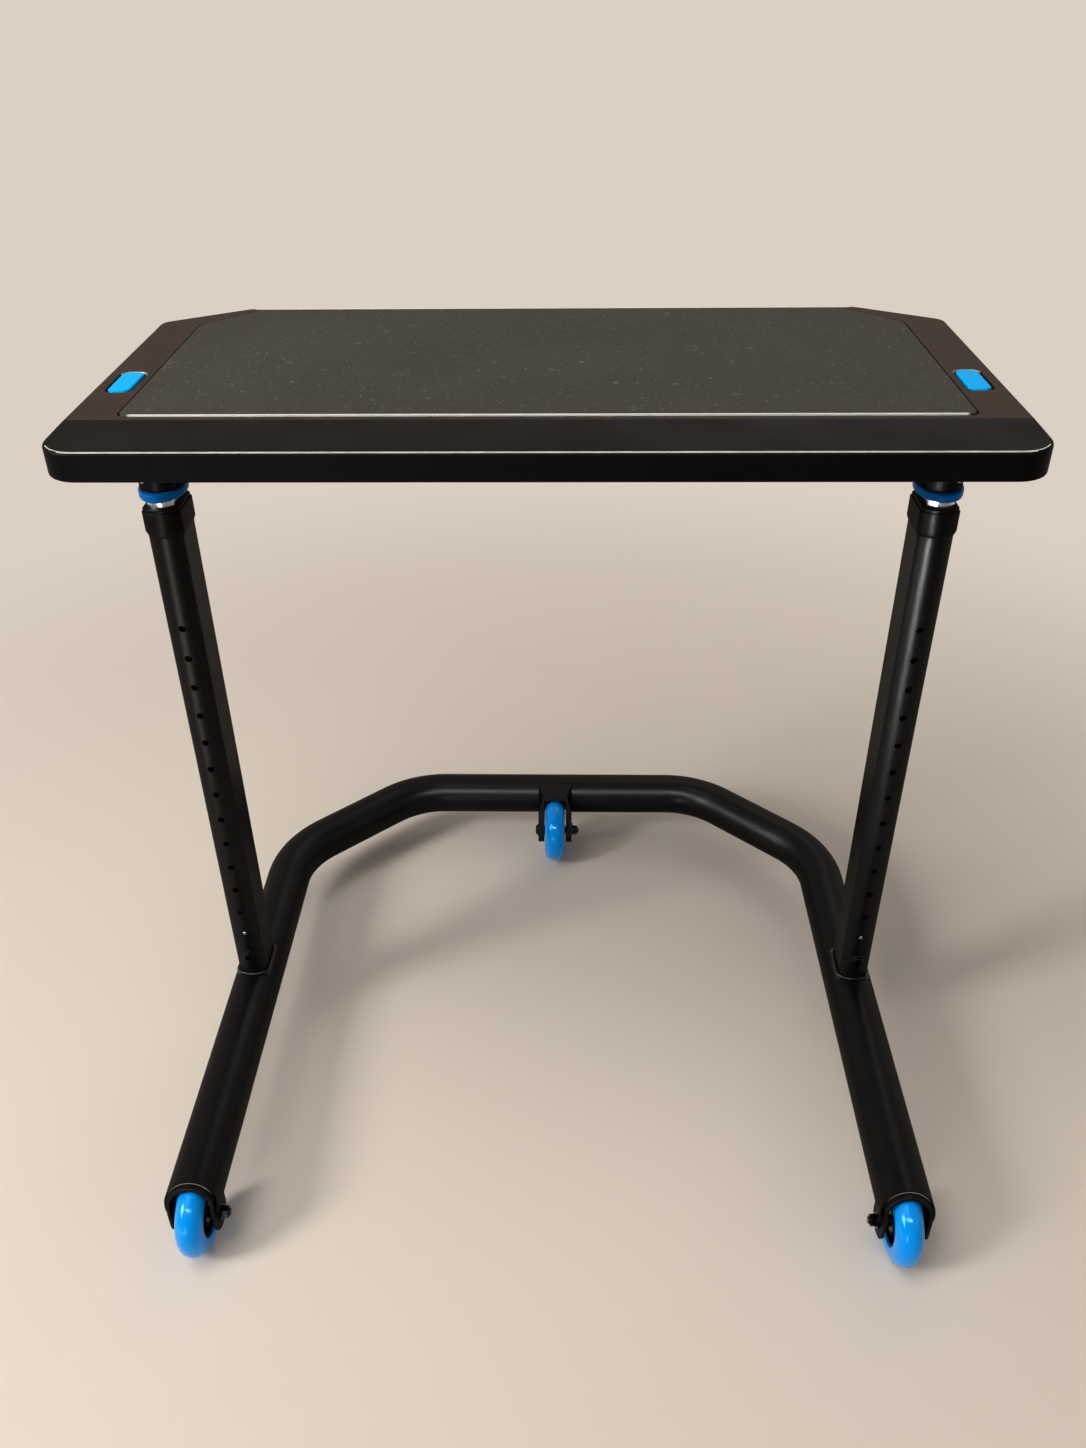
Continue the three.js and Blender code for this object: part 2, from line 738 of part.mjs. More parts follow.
// Screw places under the desk
const coverScrews = [];
[-1, 1].forEach((side) => {
  const edge = deckWidth / 2 - coverScrewInset;
  coverScrews.push([side * edge, deckFront + coverScrewInset + deckCornerRadius / 2]);
  coverScrews.push([side * edge, deckRear - deckChamferDeep - coverScrewInset]);
  coverScrews.push([side * deckWidth / 6, deckFront + coverScrewInset]);
  coverScrews.push([side * (edge - deckChamferWide), deckRear - coverScrewInset]);
});
const flangeScrews = [];
[-1, 1].forEach((side) => {
  [flangeOuter - flangeScrewInset, flangeScrewInset - flangeInner].forEach((across) => {
    [-1, 1].forEach((end) => {
      flangeScrews.push([side * (columnX + across), end * (flangeHalfDepth - flangeScrewInset)]);
    });
  });
});

function makeScrews(places, face) {
  return joined(places.flatMap(([x, y]) => [
    rodUp(screwHeadRadius, face - screwHeadHeight, face + fit, x, y, screwSides),
    rodUp(screwRadius, face, face + screwBite, x, y, screwSides),
  ]));
}

// Desk top shell: hollow below, recessed for the mat and the buttons
function makeDeckShell() {
  const bevel = { bevelEnabled: true, bevelThickness: deckRound, bevelSize: deckRound, bevelSegments: 2 };
  const body = solidOf(new THREE.ExtrudeGeometry(deckShape(deckRound), {
    depth: deckEdge - 2 * deckRound, curveSegments: arcSteps, ...bevel,
  }).translate(0, 0, deckBottom + deckRound));
  const hollow = prismUp(deckShape(deckWall), deckBottom - overrun, skinUnder);
  const seats = [[coverScrews, coverLow, coverHigh], [flangeScrews, flangeLow, flangeHigh]];
  const bosses = seats.flatMap(([places, , high]) => places.map(
    ([x, y]) => rodUp(bossRadius, high + fit, skinUnder + fit, x, y, screwSides)));
  const bores = seats.flatMap(([places, low]) => places.map(
    ([x, y]) => rodUp(screwRadius + fit, low - overrun, low + screwBite + fit, x, y, screwSides)));
  const strip = pointsShape([
    [deckFront + stripDepth, deckTop],
    [deckFront + stripDepth, deckTop + overrun],
    [deckFront - overrun, deckTop + overrun],
    [deckFront - overrun, deckTop - stripDrop * (stripDepth + overrun) / stripDepth],
  ]);
  const tools = [
    prismUp(matShape(matGap), deckTop - matRecess, deckTop + overrun),
    prismAcross(strip, -deckWidth, deckWidth),
    ...bores,
  ];
  [-1, 1].forEach((side) => {
    const at = [side * buttonX, buttonCentreY, 0];
    const dish = slotShape(buttonHalfWidth + dishMargin, buttonLength + 2 * dishMargin);
    tools.push(prismUp(dish, deckTop - dishDepth, deckTop + overrun).translate(at));
    const slot = slotShape(buttonHalfWidth + fit, buttonLength + 2 * fit);
    tools.push(prismUp(slot, skinUnder - overrun, deckTop + overrun).translate(at));
  });
  return cutBy(joined([body.subtract(hollow), ...bosses]), tools);
}
add('desk_top_shell', makeDeckShell(), deckPlastic);
add('desk_mat', prismUp(matShape(0), deckTop - matRecess, deckTop - matRecess + matThickness), matRubber);

// Underside cover, with an opening for each socket
function makeCover() {
  const tools = [-columnX, columnX].map((x) => prismUp(sectionShape(fit - socketInset), coverLow - overrun,
    coverHigh + overrun).translate([x, 0, 0]));
  flangeScrews.forEach(([x, y]) => {
    tools.push(rodUp(screwHeadRadius + fit, coverLow - overrun, coverHigh + overrun, x, y, screwSides));
  });
  const plate = cutBy(prismUp(deckShape(deckWall + fit), coverLow, coverHigh), tools);
  return plate.add(makeScrews(coverScrews, coverLow));
}
add('underside_cover', makeCover(), blackPlastic);

// Steel rail that ties the two socket flanges together
function makeRail() {
  const low = flangeHigh + fit;
  const high = skinUnder - fit;
  const half = columnX - railShort;
  const outer = block(-half, half, railFrontY, railFrontY + railDepth, low, high);
  return outer.subtract(block(-half - overrun, half + overrun, railFrontY + railWall,
    railFrontY + railDepth - railWall, low + railWall, high - railWall));
}
add('support_rail', makeRail(), darkSteel);

// Leg socket: an oval sleeve with a flange inside the desk
function makeSocket(side) {
  const bore = -innerInset + fit;
  const plate = block(-flangeInner, flangeOuter, -flangeHalfDepth, flangeHalfDepth, flangeLow, flangeHigh)
    .subtract(prismUp(sectionShape(bore), flangeLow - overrun, flangeHigh + overrun));
  const screws = flangeScrews.filter(([x]) => x * side > 0).map(([x, y]) => [x * side - columnX, y]);
  const tube = sleeve(-socketInset, bore, socketLow, flangeLow + fit);
  const body = joined([tube, plate, makeScrews(screws, flangeLow)]);
  return turnedToSide(body, side).subtract(socketScrewTool(side, socketScrewRadius + fit));
}

// A rod through the socket's front wall, turned outward by the screw's angle
function socketScrewTool(side, radius, from = 0, to = 2 * columnBow, sides = holeSides) {
  const rod = rodDeep(radius, -to, -from, 0, socketLow + socketScrewRise, sides);
  return rod.rotate([0, 0, side * socketScrewAngle]).translate([0, -columnBowSetback, 0]);
}

function makeSocketScrew(side) {
  const face = columnBow - socketInset + fit;
  const shank = socketScrewTool(side, socketScrewRadius, columnBow - innerInset - innerWall, face + fit);
  return shank.add(socketScrewTool(side, socketScrewHead, face, face + socketScrewHeadHeight));
}

// Blue stop ring under the socket
function makeRing() {
  const outer = new THREE.ExtrudeGeometry(sectionShape(ringProud - ringRound), {
    depth: ringHeight - 2 * ringRound, curveSegments: arcSteps, bevelEnabled: true,
    bevelThickness: ringRound, bevelSize: ringRound, bevelSegments: 2,
  }).translate(0, 0, ringLow + ringRound);
  return solidOf(outer).subtract(
    prismUp(sectionShape(-innerInset + fit), ringLow - overrun, ringLow + ringHeight + overrun));
}

// Chromed inner tube, with the pin's hole at its foot
function makeInnerTube(side) {
  const tube = sleeve(-innerInset, -innerInset - innerWall, innerLow, innerHigh);
  const pinHole = rodDeep(pinRadius + fit, -sectionHalfDepth(overrun), 0, 0, lowestHole, holeSides);
  return tube.subtract(pinHole).subtract(socketScrewTool(side, socketScrewRadius + fit));
}

// Glide outside the inner tube, just above the pin
function makeGlide() {
  const low = lowestHole + glideAbovePin;
  return sleeve(-columnWall - fit, -innerInset + fit, low, low + glideHeight);
}

// Lock pin: a round nose and a block whose window the rod's wedge works in
const innerBow = columnBow - innerInset - innerWall;
const pinBlockFront = fit - columnBowSetback - Math.sqrt(innerBow ** 2 - pinBlockHalfWidth ** 2);
const windowFront = rodY - rodRadius - fit - pinTravel;
const wedgeBack = rodY + rodRadius;
function makePin() {
  const tip = -sectionHalfDepth(0) - pinProud;
  const low = lowestHole - pinBlockDrop;
  const high = lowestHole + pinBlockRise;
  const nose = rodDeep(pinRadius, tip, pinBlockFront + fit, 0, lowestHole, holeSides);
  const half = pinBlockHalfWidth;
  const body = block(-half, half, pinBlockFront, pinBlockFront + pinBlockDepth, low, high);
  const slant = wedgeBack + 2 * fit;
  const window = pointsShape([
    [windowFront, high + overrun],
    [windowFront, wedgeHigh - (slant - windowFront)],
    [slant, wedgeHigh],
    [slant, high + overrun],
  ].reverse());
  const windowHalf = rodRadius + fit;
  return nose.add(body).subtract(prismAcross(window, -windowHalf, windowHalf));
}

// Carrier fixed in the inner tube, which guides the pin's block
const carrierLow = lowestHole - pinBlockDrop - fit - carrierFloor;
const carrierHigh = lowestHole + pinBlockRise + fit + carrierRoof;
const springWall = pinBlockFront + pinBlockDepth + pinTravel + pinSpringRoom;
function makeCarrier() {
  const body = prismUp(sectionShape(-innerInset - innerWall - fit), carrierLow, carrierHigh);
  const channel = block(-pinBlockHalfWidth - fit, pinBlockHalfWidth + fit, -sectionHalfDepth(0), springWall,
    lowestHole - pinBlockDrop - fit, lowestHole + pinBlockRise + fit);
  const rodHole = rodUp(rodRadius + fit, lowestHole, carrierHigh + overrun, 0, rodY, holeSides);
  return body.subtract(channel).subtract(rodHole);
}

// Pin spring, drawn at the length that it has when the pin is drawn back
function makePinSpring() {
  const start = pinBlockFront + pinBlockDepth + pinTravel + fit;
  const wire = coil(pinSpringRadius, pinSpringWire, start, springWall - fit, pinSpringTurns);
  return solidOf(wire.rotateX(-Math.PI / 2).translate(0, 0, lowestHole));
}

// Push rod from the button down to the wedge that draws the pin back
function makeRod() {
  const tip = wedgeHigh - 2 * rodRadius;
  const rod = rodUp(rodRadius, tip, pocketHigh - fit, 0, rodY);
  const bevel = pointsShape([
    [wedgeBack + overrun, wedgeHigh + overrun],
    [rodY - rodRadius - overrun, wedgeHigh - 2 * rodRadius - overrun],
    [wedgeBack + overrun, wedgeHigh - 2 * rodRadius - overrun],
  ].reverse());
  return rod.subtract(prismAcross(bevel, -2 * rodRadius, 2 * rodRadius));
}

// Button with a retaining flange below the skin and a pocket for its spring
function makeButton(side) {
  const high = deckTop + buttonProud;
  const cap = solidOf(new THREE.ExtrudeGeometry(
    slotShape(buttonHalfWidth - buttonRound, buttonLength - 2 * buttonRound), {
      depth: high - skinUnder + fit + buttonFlangeHeight - 2 * buttonRound, curveSegments: arcSteps,
      bevelEnabled: true, bevelThickness: buttonRound, bevelSize: buttonRound, bevelSegments: 2,
    }).translate(0, 0, skinUnder - fit - buttonFlangeHeight + buttonRound));
  const flange = prismUp(slotShape(buttonHalfWidth + buttonFlange, buttonLength + 2 * buttonFlange),
    skinUnder - fit - buttonFlangeHeight, skinUnder - fit);
  const across = -side * buttonOffset;
  const pocket = rodUp(pocketRadius, skinUnder - 2 * overrun, pocketHigh, across, rodY - buttonCentreY);
  return cap.add(flange).subtract(pocket).translate([side * buttonOffset, buttonCentreY, 0]);
}

// Housing under the button
function makeHousing(side) {
  const inner = buttonHalfWidth + buttonFlange + fit;
  const outer = inner + housingWall;
  const length = buttonLength - 2 * buttonHalfWidth;
  const floor = housingLow + housingFloor;
  const shell = prismUp(slotShape(outer, length + 2 * outer), housingLow, skinUnder - fit)
    .subtract(prismUp(slotShape(inner, length + 2 * inner), floor, skinUnder + overrun));
  const across = -side * buttonOffset;
  const rodAway = rodY - buttonCentreY;
  const hole = rodUp(rodRadius + fit, housingLow - overrun, skinUnder, across, rodAway, holeSides);
  return shell.subtract(hole).translate([side * buttonOffset, buttonCentreY, 0]);
}

function makeButtonSpring() {
  const wire = coil(buttonSpringRadius, buttonSpringWire, housingLow + housingFloor + fit, pocketHigh - fit,
    buttonSpringTurns);
  return solidOf(wire.translate(0, rodY, 0));
}

[['left', -1], ['right', 1]].forEach(([name, side]) => {
  const x = side * columnX;
  add(`leg_socket_${name}`, makeSocket(side), blackPlastic, x);
  add(`socket_screw_${name}`, makeSocketScrew(side), plainSteel, x);
  add(`stop_ring_${name}`, makeRing(), bluePlastic, x);
  add(`inner_tube_${name}`, makeInnerTube(side), chrome, x);
  add(`glide_bush_${name}`, makeGlide(), whitePlastic, x);
  add(`pin_carrier_${name}`, makeCarrier(), blackPlastic, x);
  add(`lock_pin_${name}`, makePin(), plainSteel, x);
  add(`pin_spring_${name}`, makePinSpring(), plainSteel, x);
  add(`push_rod_${name}`, makeRod(), plainSteel, x);
  add(`release_button_${name}`, makeButton(side), bluePlastic, x);
  add(`button_housing_${name}`, makeHousing(side), blackPlastic, x);
  add(`button_spring_${name}`, makeButtonSpring(), plainSteel, x);
});

// The origin is on the floor, halfway between the front wheels' fronts and the crossbar's back
desk.position.y = -(crossbarY + tubeRadius + frontAxleY - wheelRadius) / 2;

export default desk;
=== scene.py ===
import math
import bmesh
import bpy
from mathutils import Matrix, Vector


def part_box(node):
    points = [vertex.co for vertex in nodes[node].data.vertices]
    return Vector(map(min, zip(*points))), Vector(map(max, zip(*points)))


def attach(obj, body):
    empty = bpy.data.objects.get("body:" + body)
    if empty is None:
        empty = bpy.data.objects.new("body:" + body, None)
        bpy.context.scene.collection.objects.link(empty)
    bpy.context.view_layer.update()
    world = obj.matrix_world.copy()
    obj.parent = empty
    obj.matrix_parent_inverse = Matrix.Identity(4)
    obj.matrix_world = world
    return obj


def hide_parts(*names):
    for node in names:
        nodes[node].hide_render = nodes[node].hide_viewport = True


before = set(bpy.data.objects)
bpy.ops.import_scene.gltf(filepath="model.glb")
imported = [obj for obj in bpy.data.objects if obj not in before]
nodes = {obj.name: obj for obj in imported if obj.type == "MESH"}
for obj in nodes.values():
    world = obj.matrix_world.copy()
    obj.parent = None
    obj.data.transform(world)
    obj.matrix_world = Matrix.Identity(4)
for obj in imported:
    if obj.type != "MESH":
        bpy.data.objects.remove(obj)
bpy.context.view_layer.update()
sides = {"left": -1, "right": 1}
through = 0.2  # length of a cutter that goes right through
beyond = 0.01  # how far any other cutter stands out of the piece
hair = 0.0001  # a gap or overlap too small to see
spare = 0.001  # how far a test by place reaches past what it should find

# selecting and shaping, as by hand


def pickPiece(piece):
    if bpy.context.object and bpy.context.object.mode != "OBJECT":
        bpy.ops.object.mode_set(mode="OBJECT")
    bpy.ops.object.select_all(action="DESELECT")
    piece.select_set(True)
    bpy.context.view_layer.objects.active = piece


def newPiece(name):
    piece = bpy.context.object
    piece.name = name
    piece.data.name = name
    bpy.ops.object.transform_apply(location=True, rotation=True, scale=True)
    return piece


def cubePiece(name, low, high):
    bpy.ops.object.select_all(action="DESELECT")
    middle = [(a + b) / 2 for a, b in zip(low, high)]
    bpy.ops.mesh.primitive_cube_add(size=1, location=middle, scale=[b - a for a, b in zip(low, high)])
    return newPiece(name)


def rodPiece(name, radius, middle, length, axis="Z", corners=96, turn=0.0):
    bpy.ops.object.select_all(action="DESELECT")
    turns = {"X": (0, math.pi / 2, turn), "Y": (math.pi / 2, 0, turn), "Z": (0, 0, turn)}
    bpy.ops.mesh.primitive_cylinder_add(
        vertices=corners, radius=radius, depth=length, location=middle, rotation=turns[axis])
    return newPiece(name)


def openEdit(piece, kind, picked=False):
    pickPiece(piece)
    bpy.ops.object.mode_set(mode="EDIT")
    bpy.ops.mesh.select_mode(type=kind)
    bpy.ops.mesh.select_all(action="SELECT" if picked else "DESELECT")
    return bmesh.from_edit_mesh(piece.data)


def closeEdit():
    bpy.ops.object.mode_set(mode="OBJECT")


def pickFaces(piece, wanted):
    for face in openEdit(piece, "FACE").faces:
        if wanted(face.calc_center_median(), face.normal):
            face.select_set(True)
    bmesh.update_edit_mesh(piece.data)


def pickEdges(piece, wanted):
    for edge in openEdit(piece, "EDGE").edges:
        if wanted(edge):
            edge.select_set(True)
    bmesh.update_edit_mesh(piece.data)


def pickPoints(piece, wanted):
    for point in openEdit(piece, "VERT").verts:
        if wanted(point.co):
            point.select_set(True)
    bmesh.update_edit_mesh(piece.data)


def isUpright(edge):
    a, b = (point.co for point in edge.verts)
    return abs(a.z - b.z) > 0.95 * (a - b).length


def rimFacing(way):
    # edges round a flat face that looks up, way 1, or down, way -1
    def wanted(edge):
        rises = [face.normal.z * way for face in edge.link_faces]
        return len(rises) == 2 and max(rises) > 0.9 and min(rises) < 0.5
    return wanted


def rimAt(axis, *places):
    # edges that lie in a plane across the axis
    at = "XYZ".index(axis)
    return lambda edge: any(
        all(abs(point.co[at] - place) < hair / 2 for point in edge.verts) for place in places)


def bevelEdges(piece, wanted, width, segments=4):
    pickEdges(piece, wanted)
    bpy.ops.mesh.bevel(offset=width, segments=segments, profile=0.5, affect="EDGES")
    closeEdit()


def cutAway(piece, point, normal, fill=True):
    # what lies beyond the plane, on the side that the normal points to, goes
    openEdit(piece, "FACE", picked=True)
    bpy.ops.mesh.bisect(plane_co=point, plane_no=normal, use_fill=fill, clear_outer=True)
    closeEdit()


def markLine(piece, point, normal):
    openEdit(piece, "FACE", picked=True)
    bpy.ops.mesh.bisect(plane_co=point, plane_no=normal)
    closeEdit()


def dropFaces(piece, wanted):
    pickFaces(piece, wanted)
    bpy.ops.mesh.delete(type="FACE")
    closeEdit()


def setModifier(piece, kind, settings):
    pickPiece(piece)
    modifier = piece.modifiers.new(kind.title(), kind)
    for key, value in settings.items():
        setattr(modifier, key, value)
    bpy.ops.object.modifier_apply(modifier=modifier.name)


def combine(piece, operation, others):
    for other in others:
        setModifier(piece, "BOOLEAN", {"object": other, "operation": operation, "solver": "EXACT"})
        bpy.data.objects.remove(other)


def carve(piece, *cutters):
    combine(piece, "DIFFERENCE", cutters)


def weldOn(piece, *others):
    combine(piece, "UNION", others)


def keepInside(piece, limit):
    combine(piece, "INTERSECT", [limit])


def thicken(piece, thickness):
    setModifier(piece, "SOLIDIFY", {"thickness": thickness, "offset": -1, "use_even_offset": True})


def roundEdges(piece, width, segments=2, angle=40):
    setModifier(piece, "BEVEL", {
        "width": width, "segments": segments, "limit_method": "ANGLE", "angle_limit": math.radians(angle),
        "use_clamp_overlap": True, "loop_slide": False})


def stretchPicked(about, scale):
    bpy.ops.transform.resize(value=scale, center_override=about)
    closeEdit()


def stepFace(piece, wanted, inset, push):
    # insets the picked faces and pushes them along, for a recess or a boss
    pickFaces(piece, wanted)
    bpy.ops.mesh.inset(thickness=inset)
    bpy.ops.mesh.extrude_region_move(TRANSFORM_OT_translate={"value": push})
    closeEdit()


def mergePoints(piece, distance=0.00001):
    openEdit(piece, "VERT", picked=True)
    bpy.ops.mesh.remove_doubles(threshold=distance)
    closeEdit()


def faceOut(piece):
    mergePoints(piece)
    openEdit(piece, "FACE", picked=True)
    bpy.ops.mesh.normals_make_consistent(inside=False)
    closeEdit()


def smoothPiece(piece, angle=40, flats=True):
    pickPiece(piece)
    bpy.ops.object.shade_smooth_by_angle(angle=math.radians(angle))
    if flats:
        setModifier(piece, "WEIGHTED_NORMAL", {"keep_sharp": True, "weight": 80})


def joinPieces(name, pieces):
    pickPiece(pieces[0])
    for other in pieces[1:]:
        other.select_set(True)
    bpy.ops.object.join()
    pieces[0].name = name
    return pieces[0]


def fitPiece(piece, body, slot, finish, *replaced,
             soften=0.0, segments=2, angle=40, smooth=40, flats=True):
    # the last steps: softened edges, smooth shading, finish, body and the solids that it stands for
    if soften:
        roundEdges(piece, soften, segments, angle)
    smoothPiece(piece, smooth, flats)
    piece.data.materials.clear()
    piece.data.materials.append(finish)
    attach(piece, body)
    if replaced:
        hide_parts(*replaced)


def giveFinish(piece, finish, wanted):
    # the picked faces get a finish of their own
    piece.data.materials.append(finish)
    pickFaces(piece, wanted)
    piece.active_material_index = len(piece.data.materials) - 1
    bpy.ops.object.material_slot_assign()
    closeEdit()


def middleOf(node):
    low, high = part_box(node)
    return (low + high) / 2


def axisOf(name):
    # the line through a column, from the inner tube that runs in it
    middle = middleOf("inner_tube_" + name)
    return middle.x, middle.y


deskLow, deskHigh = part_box("desk_top_shell")
matLow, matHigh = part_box("desk_mat")
tubeLow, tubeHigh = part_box("base_tube")
stripDepth = 0.070
crease = deskLow.y + stripDepth
tubeRadius = 0.0286
tubeAxis = tubeHigh.z - tubeRadius

# finishes
even = (1, 1, 1)


def colour(code):
    parts = [int(code[at:at + 2], 16) / 255 for at in (1, 3, 5)]
    return [c / 12.92 if c <= 0.04045 else ((c + 0.055) / 1.055) ** 2.4 for c in parts] + [1.0]


def addNode(tree, kind, settings, output=0):
    # a setting that is another node's output is linked, any other is set
    node = tree.nodes.new("ShaderNode" + kind)
    for key, value in settings.items():
        if isinstance(value, bpy.types.NodeSocket):
            tree.links.new(value, node.inputs[key])
        elif isinstance(key, int) or key in node.inputs:
            node.inputs[key].default_value = value
        else:
            setattr(node, key, value)
    return node.outputs[output]


def grainAt(tree, place, size, detail=2, stretch=even, roughness=0.5):
    # size is the width of one grain, in metres
    drawn = addNode(tree, "Mapping", {"Vector": place, "Scale": stretch})
    return addNode(tree, "TexNoise", {
        "Vector": drawn, "Scale": 1 / size, "Detail": detail, "Roughness": roughness})


def rampedBy(tree, *ramps):
    # each ramp goes from 0 at its first value to 1 at its second, and they are multiplied
    mask = 1.0
    for source, start, end in ramps:
        ramp = addNode(tree, "MapRange", {"Value": source, "From Min": start, "From Max": end})
        mask = addNode(tree, "Math", {"operation": "MULTIPLY", 0: ramp, 1: mask})
    return mask


def pointOn(tree, place):
    # how far aside of the middle plane, how deep and how high
    across, deep, up = (addNode(tree, "SeparateXYZ", {"Vector": place}, axis) for axis in "XYZ")
    return addNode(tree, "Math", {"operation": "ABSOLUTE", 0: across}), deep, up


def specks(size, detail, start, end, roughness=0.5):
    return lambda tree, place: rampedBy(tree, (grainAt(tree, place, size, detail, even, roughness), start, end))


def scratches(size, width, share):
    # thin curved lines where a slow noise passes its middle, kept only where another noise is high
    def mask(tree, place):
        away = addNode(tree, "Math", {"operation": "SUBTRACT", 0: grainAt(tree, place, size, 1), 1: 0.5})
        away = addNode(tree, "Math", {"operation": "ABSOLUTE", 0: away})
        turned = addNode(tree, "Mapping", {"Vector": place, "Rotation": (0.4, 0.7, 1.1)})
        return rampedBy(tree, (away, width, 0), (grainAt(tree, turned, size * 0.8, 1), share, share + 0.03))
    return mask


def zone(*ramps):
    # a part of the piece, by ramps over the place aside, deep and up and over how far it faces up
    def mask(tree, place):
        aside, deep, up = pointOn(tree, place)
        facing = addNode(tree, "SeparateXYZ", {"Vector": addNode(tree, "NewGeometry", {}, "Normal")}, "Z")
        known = {"aside": aside, "deep": deep, "up": up, "facing": facing}
        return rampedBy(tree, *((known[what], start, end) for what, start, end in ramps))
    return mask


def startFinish(name):
    finish = bpy.data.materials.new(name)
    finish.use_nodes = True
    tree = finish.node_tree
    return finish, tree, tree.nodes["Principled BSDF"], addNode(tree, "TexCoord", {}, "Object")


def makeFinish(name, facts, layers=()):
    # two tones in clouds, then layers of (colour, strength, mask), then roughness and a fine grain
    finish, tree, shader, place = startFinish(name)
    facts = {"detail": 2, "spread": (0, 1), "stretch": even, "grainDetail": 2, "grainStretch": even,
             "grainRoughness": 0.5, "shine": "", "byGrain": False} | facts
    for key in shader.inputs.keys():
        if key in facts:
            shader.inputs[key].default_value = facts[key]
    cloud = grainAt(tree, place, facts["cloud"], facts["detail"], facts["stretch"])
    first, second = facts["tones"]
    tone = addNode(tree, "Mix", {"data_type": "RGBA", 0: rampedBy(tree, (cloud, *facts["spread"])),
                                 6: colour(first), 7: colour(second)}, 2)
    for code, strength, mask in layers:
        amount = addNode(tree, "Math", {"operation": "MULTIPLY", 0: mask(tree, place), 1: strength})
        tone = addNode(tree, "Mix", {"data_type": "RGBA", 0: amount, 6: tone, 7: colour(code)}, 2)
    tree.links.new(tone, shader.inputs["Base Color"])
    grain = grainAt(tree, place, facts["grain"], facts["grainDetail"], facts["grainStretch"],
                    facts["grainRoughness"])
    normal = addNode(tree, "Bump", {"Height": grain, "Distance": facts["depth"], "Strength": 1.0})
    tree.links.new(normal, shader.inputs[facts["shine"] + "Normal"])
    if "rough" in facts:
        low, high = facts["rough"]
        rough = addNode(tree, "MapRange", {"Value": grain if facts["byGrain"] else cloud, "From Min": 0.3,
                                           "From Max": 0.7, "To Min": low, "To Max": high})
        tree.links.new(rough, shader.inputs[facts["shine"] + "Roughness"])
    return finish


# moulded ABS with a fine grain, warm and dull on top; painted shade makes it darker in front of the crease,
# nearly black more than a millimetre below the top behind the crease and dark on faces that do not look up, and a
# painted highlight makes the narrow rim behind the mat bright
creaseBlur = 0.0004
rimStart, rimEnd, rimBlur = matHigh.y + 0.0018, matHigh.y + 0.0066, 0.0008
deskPlastic = makeFinish("grainedDeskPlastic", {
    "tones": ("#30261f", "#3a3028"), "cloud": 0.06, "detail": 3, "spread": (0.35, 0.65), "rough": (0.42, 0.55),
    "grain": 0.0007, "depth": 0.00005, "Specular IOR Level": 0.022,
}, [
    ("#655649", 0.3, specks(0.0012, 2, 0.55, 0.8)),
    # painted shade: darker in front of the crease
    ("#0d0d0c", 0.94, zone(("deep", crease + creaseBlur, crease - creaseBlur))),
    # painted shade: nearly black more than a millimetre below the top, behind the crease, in the recesses and on
    # the sides
    ("#030303", 0.97, zone(("up", deskHigh.z - 0.0005, deskHigh.z - 0.0010),
                           ("deep", crease - creaseBlur, crease + creaseBlur))),
    # painted highlight: the narrow rim behind the mat
    ("#dcd8d2", 1.0, zone(("deep", rimStart, rimStart + rimBlur), ("deep", rimEnd, rimEnd - rimBlur),
                          ("aside", deskHigh.x - 0.0835, deskHigh.x - 0.0875))),
    # painted shade: darker on faces that do not look up
    ("#060606", 0.96, zone(("facing", 0.75, 0.3))),
])
# vulcanised rubber mat: warm grey, with fine specks, short rubbed scratches and some dust, and a painted
# highlight along its front edge
matGrain = {"size": 0.0017, "detail": 3, "roughness": 0.7}
matRubber = makeFinish("speckledMatRubber", {
    "tones": ("#3a3631", "#423e38"), "cloud": 0.10, "detail": 3, "spread": (0.35, 0.65), "rough": (0.55, 0.72),
    "grain": matGrain["size"], "grainDetail": matGrain["detail"], "grainRoughness": matGrain["roughness"],
    "depth": 0.0001, "Specular IOR Level": 0.03,
}, [
    ("#6e685f", 0.5, specks(matGrain["size"], matGrain["detail"], 0.56, 0.78, matGrain["roughness"])),
    ("#2a2724", 0.5, specks(0.0024, 2, 0.58, 0.75)),
    ("#9a9388", 0.36, scratches(0.020, 0.005, 0.60)),
    ("#9a9388", 0.38, scratches(0.011, 0.008, 0.63)),
    ("#9a9388", 0.28, scratches(0.040, 0.0022, 0.59)),
    ("#b5aea2", 0.6, specks(0.003, 1, 0.77, 0.80)),
    # painted highlight along the front edge
    ("#d6d2cd", 1.0, zone(("deep", matLow.y + 0.0021, matLow.y + 0.0013),
                          ("aside", matHigh.x - 0.007, matHigh.x - 0.010))),
])
# painted highlights: pale finishes for edges that catch the light as a thin line, on the desk's front edge and at
# the rear end of each button dish
edgeHighlight = {"cloud": 0.012, "detail": 3, "stretch": (1, 0.2, 0.2), "spread": (0.3, 0.7), "grain": 0.0008,
          "depth": 0.00003, "Roughness": 0.35, "Specular IOR Level": 0.3}
frontEdgeHighlight = makeFinish("paintedHighlightDeskEdge", edgeHighlight | {"tones": ("#a9a5a0", "#c8c4be")})
dishRimHighlight = makeFinish("paintedHighlightDishRim", edgeHighlight | {"tones": ("#857a6e", "#94897d")})
lipArc = {"inner": (0.0261, 0.0264), "outer": (0.0275, 0.0272), "rise": (0.014, 0.024)}


def crescent(tree, place):
    # a thin arc round the top of the tube's mouth
    aside, deep, up = pointOn(tree, place)
    aside = addNode(tree, "Math", {"operation": "SUBTRACT", 0: aside, 1: tubeHigh.x - tubeRadius})
    up = addNode(tree, "Math", {"operation": "SUBTRACT", 0: up, 1: tubeAxis})
    spot = addNode(tree, "CombineXYZ", {"X": aside, "Z": up})
    away = addNode(tree, "VectorMath", {"operation": "LENGTH", 0: spot}, "Value")
    return rampedBy(tree, (away, *lipArc["inner"]), (away, *lipArc["outer"]), (up, *lipArc["rise"]))


